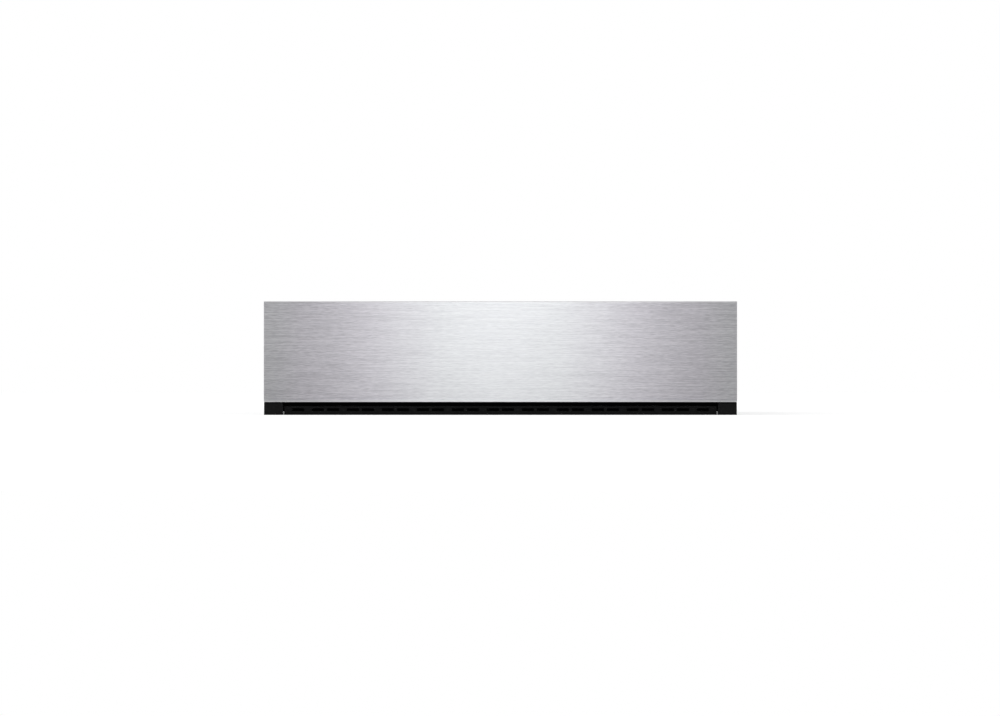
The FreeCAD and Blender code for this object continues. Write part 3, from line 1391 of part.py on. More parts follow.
def sealing_bar():
    """Aluminium bar with a heating band; two rods run down into the lifters."""
    x = ("chamber_x - sealer_half", "chamber_x + sealer_half")
    y = ("sealer_y - sealer_width / 2", "sealer_y + sealer_width / 2")
    block = box("bar_block", x, y, ("sealer_under", "sealer_top - heater_height"))
    edge = flat_at("Z", "sealer_top - heater_height")
    bar = softened("bar_soft", block, "sealer_round", edge)
    node("heating_band", box(
        "band", (f"{x[0]} + heater_end", f"{x[1]} - heater_end"),
        ("sealer_y - heater_width / 2", "sealer_y + heater_width / 2"),
        ("sealer_top - heater_height", "sealer_top")))
    rods, cases = [], []
    for side, _ in SIDES:
        at = (f"chamber_x + {side} * lifter_spread", "sealer_y")
        rods.append(rod("lift_rod", "z", "rod_radius",
                        ("lifter_top - rod_hold", "sealer_under"), at))
        body_rod = rod("lifter", "z", "lifter_radius", ("chamber_floor", "lifter_top"), at)
        bore = rod("lifter_bore", "z", "rod_radius + rod_play",
                   ("chamber_floor + lifter_floor", "lifter_top + past"), at)
        cases.append(carve("lifter_case", body_rod, bore))
    node("sealing_bar", join("bar", bar, *rods))
    node("bar_lifters", group("lifters", *cases))


# Lid: glass, grip, rubber and hinge


def lid_glass():
    made = body("glass")
    plate = sketch(made, "XY", "lid_under")
    x, y, _ = grown("lid_reach")
    round_rectangle(plate, x, y, "lid_radius")
    slab = feature(made, "Pad", plate, "lid_thickness")
    top, low = flat_at("Z", "lid_top"), flat_at("Z", "lid_under")
    rounded(made, slab, "lid_bevel", lambda b: top(b) or low(b), kind="Chamfer")
    node("lid_glass", made)


def lid_handle():
    """Clamped aluminium grip on the front edge of the glass."""
    half = "handle_width / 2"
    x = (f"chamber_x - {half}", f"chamber_x + {half}")
    over = "lid_top + handle_wall"
    top = box("grip_top", x, ("lid_front - handle_lip", "lid_front + handle_lap"),
              ("lid_top", over))
    nose = box("grip_nose", x, ("lid_front - handle_lip", "lid_front - handle_web"),
               ("lid_top - handle_nose", "lid_top"))
    web = box("grip_web", x, ("lid_front - handle_web", "lid_front"),
              ("lid_under - handle_wall", "lid_top"))
    lip = box("grip_lip", x, ("lid_front", "lid_front + lid_overhang - handle_clear"),
              ("lid_under - handle_wall", "lid_under"))
    blank = join("grip_blank", top, nose, web, lip)
    front = flat_at("Y", "lid_front - handle_lip")
    node("lid_handle", softened("grip", blank, "handle_round", front))


def counter_bar():
    """Holder under the glass and the rubber that the sealing bar presses on."""
    x = ("chamber_x - sealer_half", "chamber_x + sealer_half")

    def y(width):
        return (f"sealer_y - {width} / 2", f"sealer_y + {width} / 2")

    holder = box("holder", x, y("counter_width"), ("lid_under - counter_height", "lid_under"))
    top = "lid_under - counter_web"
    groove = box("holder_groove", (f"{x[0]} - past", f"{x[1]} + past"), y("rubber_width"),
                 ("lid_under - counter_height - past", top))
    node("counter_holder", carve("counter", holder, groove))
    rubber = box("rubber", x, y("rubber_width"), ("rubber_under", top))
    low = flat_at("Z", "rubber_under")
    node("pressure_rubber", softened("rubber_soft", rubber, "rubber_round", low))


HINGES = (-1, 1)


def hinge_arms():
    """Arms bonded on the glass, pressed on one shaft through the four ears."""
    arms = []
    for side in HINGES:
        middle = f"chamber_x + {side} * hinge_spread"
        x = (f"{middle} - arm_width / 2", f"{middle} + arm_width / 2")
        plate = box("arm_plate", x, ("hinge_y - arm_reach", "hinge_y"),
                    ("lid_top", "lid_top + arm_plate"))
        web = box("arm_web", x, ("lid_back + arm_gap", "hinge_y"),
                  ("hinge_z - arm_drop", "lid_top"))
        eye = rod("arm_eye", "x", "boss_radius", x, ("hinge_y", "hinge_z"))
        arms.append(join("arm", plate, web, eye))
    reach = "hinge_spread + arm_width / 2 + ear_gap + ear_width + shaft_end"
    shaft = rod("shaft", "x", "hinge_pin",
                (f"chamber_x - ({reach})", f"chamber_x + {reach}"),
                ("hinge_y", "hinge_z"))
    node("hinge_arms", join("arms", *arms, shaft))


def hinge_brackets():
    """Two ears on a foot plate at each arm, screwed to the deck."""
    brackets = []
    for side in HINGES:
        middle = f"chamber_x + {side} * hinge_spread"
        inner = "arm_width / 2 + ear_gap"
        outer = f"{inner} + ear_width"
        foot_top = "deck_level + ear_foot"
        foot = box("bracket_foot", (f"{middle} - ({outer})", f"{middle} + {outer}"),
                   ("hinge_y + boss_radius + ear_clear", "hinge_y + ear_foot_back"),
                   ("deck_level", foot_top))
        pieces = [foot]
        for way in (-1, 1):
            x = ((f"{middle} + {inner}", f"{middle} + {outer}") if way > 0
                 else (f"{middle} - ({outer})", f"{middle} - ({inner})"))
            pieces.append(box("ear_leg", x, ("hinge_y - ear_radius", "hinge_y + ear_radius"),
                              ("deck_level", "hinge_z")))
            pieces.append(box("ear_root", x, ("hinge_y", "hinge_y + ear_foot_back"),
                              ("deck_level", foot_top)))
            pieces.append(rod("ear_head", "x", "ear_radius", x, ("hinge_y", "hinge_z")))
        bore = rod("ear_bore", "x", "hinge_pin + hinge_play",
                   (f"{middle} - ({outer}) - past", f"{middle} + {outer} + past"),
                   ("hinge_y", "hinge_z"))
        holes = [
            rod("bracket_hole", "z", "screw_radius + fastener_play",
                ("deck_level - past", f"{foot_top} + past"),
                (f"{middle} + {way} * ear_hole_spread",
                 "hinge_y + ear_foot_back - ear_hole_end"))
            for way in (-1, 1)
        ]
        brackets.append(carve("bracket", join("bracket_blank", *pieces), bore, *holes))
    node("hinge_brackets", group("brackets", *brackets))


def arc_from(start, along, end):
    """The arc from start, leaving along a direction, to end."""
    chord = end - start
    flat = Vector(chord).normalize()
    turn = along.getAngle(chord)
    if turn < 1e-6:
        return Part.LineSegment(start, end).toShape()
    bulge = (along - flat * along.dot(flat)).normalize()
    middle = start + chord * 0.5 + bulge * (chord.Length / 2 * math.tan(turn / 2))
    return Part.Arc(start, middle, end).toShape()


def two_arcs(start, along, end, onward):
    """Two arcs that join start to end and keep the direction at both of them."""
    chord = end - start
    both = along + onward
    spread = 2 * (1 - along.dot(onward))
    lean = chord.dot(both)
    arm = (math.sqrt(lean**2 + spread * chord.dot(chord)) - lean) / spread
    joint = (start + along * arm + end - onward * arm) * 0.5
    return [arc_from(start, along, joint), arc_from(end, onward * -1, joint)]


def hinge_springs():
    """Torsion springs round the shaft: one leg on the deck, one over the glass."""
    wire, radius = number("spring_wire"), number("spring_radius")
    pitch = number("spring_pitch")
    axis_y, axis_z = number("hinge_y"), number("hinge_z")
    quarters = 4 * SPRING_TURNS + 1
    shapes = []
    for side in HINGES:
        inner = number("hinge_spread - arm_width / 2 - ear_gap - ear_width - spring_side")
        first = number("chamber_x") + side * inner

        def at(quarter):
            turn = quarter * math.pi / 2
            return Vector(first - side * pitch * quarter / 4,
                          axis_y + radius * math.cos(turn),
                          axis_z + radius * math.sin(turn))

        def heading(quarter):
            turn = quarter * math.pi / 2
            rise = -side * pitch / 4 / (radius * math.pi / 2)
            if quarter in (0, quarters):
                rise = 0
            return Vector(rise, -math.sin(turn), math.cos(turn)).normalize()

        foot = Vector(first, at(0).y, number("deck_level"))
        tip = at(quarters)
        tip.y = number("lid_back - spring_lap")
        edges = [Part.LineSegment(foot, at(0)).toShape()]
        for quarter in range(quarters):
            edges += two_arcs(at(quarter), heading(quarter),
                              at(quarter + 1), heading(quarter + 1))
        edges.append(Part.LineSegment(at(quarters), tip).toShape())
        path = Part.Wire(edges)
        section = Part.Wire(Part.makeCircle(wire, foot, Vector(0, 0, 1)))
        shapes.append(path.makePipeShell([section], True, False))
    turns = [at(step / 8) for step in range(8 * quarters)]
    gap = min(
        (a - b).Length
        for index, a in enumerate(turns)
        for b in turns[index + 16:]
    ) - 2 * wire
    print(f"hinge spring: least gap between turns {gap:.2f} mm")
    made = doc.addObject("Part::Feature", "springs")
    made.Shape = Part.makeCompound(shapes)
    node("hinge_springs", made)


# Touch control and outside vacuum port


def touch_control():
    """Glass in the deck, the tray that holds it and the display board in the tray."""
    x, y = ("control_left", "control_right"), ("control_front", "control_back")
    slab = box("touch_slab", x, y, ("control_under", "control_top"))
    top = flat_at("Z", "control_top")
    node("control_glass", softened("touch", slab, "control_round", top))
    wall = "control_play + tray_wall"
    out_x = (f"{x[0]} - ({wall})", f"{x[1]} + {wall}")
    out_y = (f"{y[0]} - ({wall})", f"{y[1]} + {wall}")
    case = box("tray_case", out_x, out_y, ("control_under - tray_depth", "deck_under"))
    seat = box("tray_seat", (f"{x[0]} - control_play", f"{x[1]} + control_play"),
               (f"{y[0]} - control_play", f"{y[1]} + control_play"),
               ("control_under", "deck_under + past"))
    level = "control_under - tray_depth + tray_wall"
    hollow = box("tray_hollow", (f"{x[0]} + tray_ledge", f"{x[1]} - tray_ledge"),
                 (f"{y[0]} + tray_ledge", f"{y[1]} - tray_ledge"),
                 (level, "control_under + past"))
    tray = carve("tray", case, seat, hollow)
    inset = "(tray_ledge + board_play)"
    board = box("display_plate", (f"{x[0]} + {inset}", f"{x[1]} - {inset}"),
                (f"{y[0]} + {inset}", f"{y[1]} - {inset}"),
                (level, f"{level} + board_thickness"))
    lamps = []
    for row in range(LAMP_ROWS):
        back = f"control_back - lamp_end - {row} * lamp_pitch"
        for column in (-1, 0, 1):
            middle = f"control_x + {column} * lamp_spread"
            lamps.append(box("lamp", (f"{middle} - lamp_side / 2", f"{middle} + lamp_side / 2"),
                             (f"{back} - lamp_side / 2", f"{back} + lamp_side / 2"),
                             (f"{level} + board_thickness", "control_under - lamp_gap")))
    node("control_tray", group("tray_with_board", tray, join("display", board, *lamps)))


def vacuum_port():
    """Bushing in the deck for an outside hose, and the cap that lifts off it."""
    at = ("control_x", "port_y")
    flange = rod("port_flange", "z", "port_flange", ("deck_level", "port_top"), at)
    stem = rod("port_barrel", "z", "port_body", ("port_low", "deck_level"), at)
    spigot = rod("port_spigot", "z", "spigot_radius", ("port_under", "port_low"), at)
    socket = rod("port_hole", "z", "port_radius",
                 ("port_top - port_socket", "port_top + past"), at)
    bore = rod("port_bore", "z", "spigot_radius - spigot_wall",
               ("port_under - past", "port_top"), at)
    node("vacuum_port", carve("port", join("port_blank", flange, stem, spigot),
                              socket, bore))
    under = "port_top + cap_gap"
    over = f"{under} + cap_height"
    disc = rod("cap_disc", "z", "cap_radius", (under, over), at)
    node("port_cap", softened("cap", disc, "cap_round", flat_at("Z", over)))


# Pump: head, motor, rotor, fan and mounts


PUMP_AXIS = ("pump_y", "pump_level")


def pump_head():
    """Square head with a pump chamber set off the shaft's axis, and its end cover."""
    y = ("head_front", "head_front + head_side")
    z = ("cradle_top", "head_top")
    ends = flat_at("Y", y[0]), flat_at("Y", y[1])

    def long_edge(b):
        return b.XLength > b.YLength + b.ZLength and any(end(b) for end in ends)

    case = softened("head_soft", box("head_case", ("head_left", "head_split"), y, z),
                    "head_round", long_edge)
    hollow = rod("head_hollow", "x", "head_bore",
                 ("head_left + head_wall", "head_split + past"),
                 ("pump_y", "pump_level + rotor_drop"))
    shaft = rod("head_shaft_hole", "x", "shaft_radius + shaft_play",
                ("head_left - past", "head_left + head_wall + past"), PUMP_AXIS)
    head = carve("head", case, hollow, shaft)
    cover = softened("cover_soft", box("cover_plate", ("head_split", "head_right"), y, z),
                     "head_round", long_edge)
    bolts = [
        rod("cover_bolt", "x", "screw_head", ("head_right", "head_right + bolt_height"),
            (a, b))
        for a in ("head_front + bolt_inset", "head_front + head_side - bolt_inset")
        for b in ("cradle_top + bolt_inset", "head_top - bolt_inset")
    ]
    spigot = rod("head_spigot", "x", "spigot_radius",
                 ("head_right", "head_right + spigot_length"), ("pump_y", "pump_hose_z"))
    node("pump_head", group("head_and_cover", head, join("cover", cover, spigot, *bolts)))


def turned_blades(label, count, length, width, height, low, start):
    """Flat blades or fins round the pump's axis, standing on the radius low."""
    blades = []
    for index in range(count):
        turn = 360 * index / count
        angle = math.radians(turn)
        blade = doc.addObject("Part::Box", label)
        tie(blade, "Length", length)
        tie(blade, "Width", width)
        tie(blade, "Height", height)
        blade.Placement = Placement(Vector(), Rotation(Vector(1, 0, 0), turn))
        sine, cosine = f"{math.sin(angle):.9f}", f"{math.cos(angle):.9f}"
        tie(blade, "Placement.Base.x", start)
        tie(blade, "Placement.Base.y",
            f"pump_y - ({low}) * {sine} - ({width}) / 2 * {cosine}")
        tie(blade, "Placement.Base.z",
            f"pump_level + ({low}) * {cosine} - ({width}) / 2 * {sine}")
        blades.append(blade)
    return blades


def pump_motor():
    """Finned tube with end shields that carry the shaft, and a cowl over its fan."""
    tube = rod("motor_tube", "x", "motor_radius", ("motor_left", "head_left"), PUMP_AXIS)
    fins = turned_blades("motor_fin", MOTOR_FINS, "motor_length - 2 * fin_end", "fin_width",
                         "fin_height + fin_root", "motor_radius - fin_root",
                         "motor_left + fin_end")
    hollow = rod("motor_hollow", "x", "motor_radius - motor_wall",
                 ("motor_left + shield_thickness", "head_left - shield_thickness"), PUMP_AXIS)
    shaft = rod("motor_shaft_hole", "x", "shaft_radius + shaft_play",
                ("motor_left - past", "head_left + past"), PUMP_AXIS)
    motor = carve("motor", join("motor_finned", tube, *fins), hollow, shaft)
    cowl = "motor_radius + cowl_step"
    shell = rod("cowl_shell", "x", cowl, ("cowl_left", "motor_left"), PUMP_AXIS)
    tools = [rod("cowl_hollow", "x", f"{cowl} - cowl_wall",
                 ("cowl_left + cowl_wall", "motor_left + past"), PUMP_AXIS)]
    for index in range(COWL_SLOTS):
        across = f"{index - (COWL_SLOTS - 1) / 2} * cowl_slot_pitch"
        y = f"pump_y + {across}"
        tall = f"sqrt(cowl_slot_reach^2 - ({across})^2)"
        tools.append(box("cowl_slot", ("cowl_left - past", "cowl_left + cowl_wall + past"),
                         (f"{y} - cowl_slot_width / 2", f"{y} + cowl_slot_width / 2"),
                         (f"pump_level - {tall}", f"pump_level + {tall}")))
    node("pump_motor", group("motor_and_cowl", motor, carve("cowl", shell, *tools)))


def pump_rotor():
    """Shaft with the armature, the pump's slotted rotor, its vanes and a fan wheel."""
    shaft = rod("motor_shaft", "x", "shaft_radius",
                ("cowl_left + blade_start", "head_split - rotor_play"), PUMP_AXIS)
    armature = rod("armature", "x", "motor_radius - motor_wall - armature_gap",
                   ("motor_left + armature_end", "head_left - armature_end"), PUMP_AXIS)
    x = ("head_left + head_wall + rotor_play", "head_split - rotor_play")
    drum = rod("rotor_drum", "x", "rotor_radius", x, PUMP_AXIS)
    cuts = []
    for way in (-1, 1):
        reach = ("shaft_radius + vane_root", "rotor_radius")
        z = [f"pump_level + {way} * ({at})" for at in reach[::way]]
        for edge in (-1, 1):
            middle = f"pump_y + {edge} * (vane_thickness + vane_play) / 2"
            cuts.append(box("vane_gap", (f"{x[0]} - past", f"{x[1]} + past"),
                            (f"{middle} - vane_play / 2", f"{middle} + vane_play / 2"), z))
    rotor = carve("slotted_drum", drum, *cuts)
    blade_x = ("cowl_left + blade_start", "motor_left - blade_end")
    hub = rod("blade_hub_blank", "x", "blade_hub", blade_x, PUMP_AXIS)
    blades = turned_blades("motor_blade", MOTOR_BLADES, f"({blade_x[1]}) - ({blade_x[0]})",
                           "blade_width", "blade_radius - blade_hub + blade_width / 2",
                           "blade_hub - blade_width / 2", blade_x[0])
    node("pump_rotor", join("rotor", shaft, armature, rotor, hub, *blades))


def pump_mounts():
    """Cradle under the motor and head, on four rubber mounts."""
    plate = box("cradle_sheet",
                ("motor_left + cradle_motor_end", "head_right - cradle_head_end"),
                ("pump_y - cradle_width / 2", "pump_y + cradle_width / 2"),
                ("cradle_under", "cradle_top"))
    saddles = [
        box("saddle", (start, f"{start} + saddle_length"),
            ("pump_y - saddle_width / 2", "pump_y + saddle_width / 2"),
            ("cradle_top", "pump_level - motor_radius / 2"))
        for start in ("motor_left + saddle_end", "head_left - saddle_end - saddle_length")
    ]
    seat = rod("saddle_seat", "x", "motor_radius + fin_height + cradle_play",
               ("motor_left", "head_left"), PUMP_AXIS)
    node("pump_cradle", carve("cradle", join("cradle_blank", plate, *saddles), seat))
    mounts = [
        rod("rubber_mount", "z", "mount_radius", ("drawer_floor", "cradle_under"), (x, y))
        for x in ("motor_left + mount_motor_end", "head_right - mount_head_end")
        for y in ("pump_y - mount_spread", "pump_y + mount_spread")
    ]
    node("rubber_mounts", group("mounts", *mounts))


def exhaust_filter():
    """Ribbed exhaust filter screwed into the front of the pump head."""
    at = ("head_left + muffler_side + muffler_radius", "pump_level")
    start = "head_front - muffler_length"
    end = "head_front - muffler_neck_length"
    can = rod("muffler_can", "y", "muffler_radius", (start, end), at)
    neck = rod("muffler_tube", "y", "muffler_neck", (end, "head_front"), at)
    grooves = []
    for index in range(MUFFLER_GROOVES):
        low = f"{start} + muffler_groove_start + {index} * muffler_groove_pitch"
        high = f"{low} + muffler_groove_width"
        outer = rod("muffler_ring", "y", "muffler_radius + past", (low, high), at)
        inner = rod("muffler_core", "y", "muffler_radius - muffler_groove",
                    (f"{low} - past", f"{high} + past"), at)
        grooves.append(carve("muffler_notch", outer, inner))
    node("exhaust_filter", carve("muffler", join("muffler_blank", can, neck), *grooves))


# Valves and hoses


def valve_block():
    """Aluminium block with three coils on top, on two posts, with its hose spigots."""
    x, y = ("valve_left", "valve_right"), ("valve_front", "valve_front + valve_depth")
    block = box("valve_body", x, y, ("valve_under", "valve_top"))
    pieces = [
        block,
        rod("valve_front_spigot", "y", "spigot_radius", (f"{y[0]} - stub_length", y[0]),
            ("outlet_x", "outlet_level")),
        rod("valve_pump_spigot", "x", "spigot_radius", (x[1], f"{x[1]} + spigot_length"),
            ("pump_hose_y", "pump_hose_z")),
        rod("valve_port_spigot", "x", "spigot_radius", (x[1], f"{x[1]} + spigot_length"),
            ("port_hose_y", "port_hose_z")),
    ]
    for way in (-1, 1):
        pieces.append(rod("valve_post", "z", "post_radius", ("drawer_floor", "valve_under"),
                          (f"outlet_x + {way} * post_spread", "valve_y")))
    top = "valve_top + coil_height"
    for step in (-1, 0, 1):
        at = (f"outlet_x + {step} * coil_pitch", "valve_y")
        pieces.append(rod("coil", "z", "coil_radius", ("valve_top", top), at))
        pieces.append(rod("coil_stem", "z", "coil_stem_radius",
                          (top, f"{top} + coil_stem_height"), at))
    node("valve_block", join("valves", *pieces))


def tube_path(points):
    """Straight runs through the points, joined by arcs as wide as the runs allow."""
    edges, radii = [], []
    start = points[0]
    for before, corner, after in zip(points, points[1:], points[2:]):
        into = (corner - before).normalize()
        away = (after - corner).normalize()
        half = into.getAngle(away) / 2
        cut = 0.45 * min((corner - before).Length, (after - corner).Length)
        radius = cut / math.tan(half)
        leave, reach = corner - into * cut, corner + away * cut
        centre = corner + (away - into).normalize() * (radius / math.cos(half))
        middle = centre + (corner - centre).normalize() * radius
        edges.append(Part.LineSegment(start, leave).toShape())
        edges.append(Part.Arc(leave, middle, reach).toShape())
        radii.append(radius)
        start = reach
    edges.append(Part.LineSegment(start, points[-1]).toShape())
    return Part.Wire(edges), radii


def vacuum_hoses():
    """Silicone hoses from the chamber, the pump and the outside port to the valves."""
    inner = number("spigot_radius + hose_play")
    outer = number("hose_radius")

    def at(x, y, z):
        return Vector(number(x), number(y), number(z))

    swing = "valve_right + hose_swing"
    dip = "(port_hose_z + port_low) / 2"
    routes = (
        (
            at("outlet_x", "tub_back + nut_height", "outlet_level"),
            at("outlet_x", "valve_front", "outlet_level"),
        ),
        (
            at("valve_right", "pump_hose_y", "pump_hose_z"),
            at(swing, "pump_hose_y", "pump_hose_z"),
            at(swing, "pump_y", "pump_hose_z"),
            at("head_right", "pump_y", "pump_hose_z"),
        ),
        (
            at("control_x", "port_y", "port_low"),
            at("control_x", "port_y", dip),
            at("control_x", f"port_y + {dip} - port_hose_z", "port_hose_z"),
            at("control_x", "port_hose_y", "port_hose_z"),
            at("valve_right", "port_hose_y", "port_hose_z"),
        ),
    )
    tubes = []
    for points in routes:
        path, radii = tube_path(points)
        along = points[1] - points[0]
        outside, inside = (
            path.makePipeShell([Part.Wire(Part.makeCircle(r, points[0], along))], True, False)
            for r in (outer, inner)
        )
        wall = outside.cut(inside)
        ideal = math.pi * (outer**2 - inner**2) * path.Length
        bends = ", ".join(f"{radius:.1f}" for radius in radii) or "none"
        print(f"hose: length {path.Length:.0f} mm, bend radii {bends},"
              f" volume {wall.Volume / ideal:.4f} of section times length")
        tubes.append(wall)
    made = doc.addObject("Part::Feature", "hose_set")
    made.Shape = Part.makeCompound(tubes)
    node("vacuum_hoses", made)


# Cooling fan in the drawer's rear wall


def cooling_fan():
    """Square frame with struts, and the wheel that turns in it."""
    at = ("fan_x", "fan_level")
    y = ("fan_front", "drawer_wall")
    half = "fan_side / 2"
    frame = box("fan_frame", (f"{at[0]} - {half}", f"{at[0]} + {half}"), y,
                (f"{at[1]} - {half}", f"{at[1]} + {half}"))
    duct = rod("fan_duct", "y", "fan_bore", (f"{y[0]} - past", f"{y[1]} + past"), at)
    ring = carve("fan_ring", frame, duct)
    strut_y = ("fan_front", "fan_front + fan_strut")
    cup = rod("fan_cup", "y", "fan_hub", strut_y, at)
    reach = "(fan_bore + fan_rim / 2)"
    across = box("fan_strut_x", (f"{at[0]} - {reach}", f"{at[0]} + {reach}"), strut_y,
                 (f"{at[1]} - fan_strut / 2", f"{at[1]} + fan_strut / 2"))
    upright = box("fan_strut_z", (f"{at[0]} - fan_strut / 2", f"{at[0]} + fan_strut / 2"),
                  strut_y, (f"{at[1]} - {reach}", f"{at[1]} + {reach}"))
    pin_hole = rod("fan_pin_hole", "y", "fan_pin + hinge_play",
                   (f"{strut_y[0]} - past", f"{strut_y[1]} + past"), at)
    node("fan_frame", carve("fan_case", join("fan_spider", ring, cup, across, upright),
                            pin_hole))
    wheel_y = (f"{strut_y[1]} + fan_cup_gap", "drawer_wall - fan_wheel_end")
    hub = rod("wheel_hub", "y", "fan_hub", wheel_y, at)
    pin = rod("wheel_pin", "y", "fan_pin", (f"{strut_y[0]} + fan_cup_gap", wheel_y[0]), at)
    pieces = [hub, pin]
    root = "(fan_hub - 2 * fan_blade)"
    for index in range(FAN_BLADES):
        turn = 360 * (index + 0.5) / FAN_BLADES
        angle = math.radians(turn)
        blade = doc.addObject("Part::Box", "wheel_blade")
        tie(blade, "Length", f"fan_tip - {root}")
        tie(blade, "Width", f"({wheel_y[1]}) - ({wheel_y[0]}) - fan_blade_end")
        tie(blade, "Height", "fan_blade")
        blade.Placement = Placement(
            Vector(), Rotation(Vector(0, 1, 0), -turn).multiply(
                Rotation(Vector(1, 0, 0), FAN_PITCH)))
        tie(blade, "Placement.Base.x", f"{at[0]} + {root} * {math.cos(angle):.6f}")
        tie(blade, "Placement.Base.y", f"{wheel_y[0]} + fan_blade_start")
        tie(blade, "Placement.Base.z", f"{at[1]} + {root} * {math.sin(angle):.6f}")
        pieces.append(blade)
    node("fan_wheel", join("wheel", *pieces))


# Power electronics under the touch control


def power_electronics():
    """Board on standoffs with its larger parts, and the heater's transformer."""
    x = ("control_x - power_width / 2", "control_x + power_width / 2")
    y = ("power_front", "power_back")
    top = "power_under + board_thickness"
    pieces = [box("power_plate", x, y, ("power_under", top))]

    def part_on_board(label, left, width, near, length, height):
        pieces.append(box(label, (left, f"{left} + {width}"), (near, f"{near} + {length}"),
                          (top, f"{top} + {height}")))

    for index in range(2):
        pieces.append(rod("capacitor", "z", "capacitor_radius",
                          (top, f"{top} + capacitor_height"),
                          (f"{x[0]} + capacitor_side + {index} * capacitor_pitch",
                           f"{y[0]} + capacitor_front")))
        part_on_board("relay", f"{x[1]} - relay_side - relay_width", "relay_width",
                      f"{y[0]} + relay_front + {index} * relay_pitch", "relay_length",
                      "relay_height")
    part_on_board("heat_sink", f"{x[0]} + sink_side", "sink_width",
                  f"{y[0]} + sink_front", "sink_length", "sink_height")
    part_on_board("terminals", f"{x[0]} + socket_side", "socket_width",
                  f"{y[1]} - socket_end - socket_length", "socket_length", "socket_height")
    pieces += [
        rod("standoff", "z", "standoff_radius", ("drawer_floor", "power_under"), (px, py))
        for px in (f"{x[0]} + standoff_inset", f"{x[1]} - standoff_inset")
        for py in (f"{y[0]} + standoff_inset", f"{y[1]} - standoff_inset")
    ]
    node("power_board", join("board", *pieces))
    side = "transformer_side / 2"
    front, back = "transformer_front", "transformer_front + transformer_length"
    low, high = "drawer_floor", "drawer_floor + transformer_height"
    core = box("core", (f"control_x - {side}", f"control_x + {side}"),
               (f"{front} + winding_lift", f"{back} - winding_lift"), (low, high))
    winding = box("winding", (f"control_x - {side} + winding_inset",
                              f"control_x + {side} - winding_inset"),
                  (front, back), (f"{low} + winding_lift", f"{high} - winding_lift"))
    node("heater_transformer", join("transformer", core, winding))


def build():
    casing_floor()
    for side, word in SIDES:
        casing_side(side, word)
        side_trim(side, word)
        runner(side, word)
        drawer_side(side, word)
    casing_rear()
    casing_top()
    casing_feet()
    casing_rivets()
    vent_strip()
    ball_rows("outer", "middle_half")
    ball_rows("inner", "inner_half")
    push_latch()
    mains_inlet()
    front_panel()
    panel_core()
    drawer_pan()
    deck()
    drawer_screws()
    vacuum_chamber()
    chamber_rim()
    lid_seal()
    chamber_supports()
    chamber_outlet()
    sealing_bar()
    lid_glass()
    lid_handle()
    counter_bar()
    hinge_arms()
    hinge_brackets()
    hinge_springs()
    touch_control()
    vacuum_port()
    pump_head()
    pump_motor()
    pump_rotor()
    pump_mounts()
    exhaust_filter()
    valve_block()
    vacuum_hoses()
    cooling_fan()
    power_electronics()


def write_parts():
    """Stops on any failed object or bad shape, then writes one STEP file per node."""
    doc.recompute()
    failed = [
        f"{thing.Name} {thing.State}"
        for thing in doc.Objects
        if "Invalid" in thing.State or "Error" in thing.State
    ]
    failed += [
        f"{name} has no valid shape"
        for name, thing in nodes.items()
        if thing.Shape.isNull() or not thing.Shape.isValid() or not thing.Shape.Solids
    ]
    if failed:
        raise RuntimeError("; ".join(failed))
    os.makedirs("parts", exist_ok=True)
    for name, thing in nodes.items():
        thing.Shape.exportStep(f"parts/{name}.step")
    print(f"{len(nodes)} nodes written")


build()
write_parts()
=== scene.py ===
import json
import math

import bmesh
import bpy
from mathutils import Matrix, Vector

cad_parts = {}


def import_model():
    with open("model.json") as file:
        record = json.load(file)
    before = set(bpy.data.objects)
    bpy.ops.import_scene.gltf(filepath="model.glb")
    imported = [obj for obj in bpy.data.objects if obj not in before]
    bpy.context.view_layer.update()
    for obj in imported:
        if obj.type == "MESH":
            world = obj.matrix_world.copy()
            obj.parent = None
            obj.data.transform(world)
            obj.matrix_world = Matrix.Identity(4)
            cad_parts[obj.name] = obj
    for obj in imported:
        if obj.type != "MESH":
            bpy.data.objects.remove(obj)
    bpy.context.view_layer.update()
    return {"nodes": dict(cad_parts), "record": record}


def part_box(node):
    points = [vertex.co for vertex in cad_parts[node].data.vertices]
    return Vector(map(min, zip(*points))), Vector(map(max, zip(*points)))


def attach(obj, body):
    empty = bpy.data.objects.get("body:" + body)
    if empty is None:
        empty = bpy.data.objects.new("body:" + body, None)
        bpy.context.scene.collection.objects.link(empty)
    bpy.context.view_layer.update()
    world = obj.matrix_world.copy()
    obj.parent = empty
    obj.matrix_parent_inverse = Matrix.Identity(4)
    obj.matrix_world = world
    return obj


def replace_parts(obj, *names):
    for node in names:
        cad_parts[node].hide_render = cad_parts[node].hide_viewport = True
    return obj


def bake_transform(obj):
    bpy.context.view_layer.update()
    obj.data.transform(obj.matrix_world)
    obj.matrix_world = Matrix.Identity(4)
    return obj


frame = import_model()
nodes = frame["nodes"]

# A built-in vacuum sealing drawer. Lengths are in metres, and a size that is written as a
# number of millimetres is multiplied by MM.
MM = 0.001

# Photograph: the view is level, straight at the front, and this wide at the front panel
VIEW_WIDTH = 1.2588
CAMERA_DISTANCE = 10.0
CAMERA_SENSOR = 36.0
CAMERA_X = -0.57 * MM
CAMERA_Z = 71.75 * MM

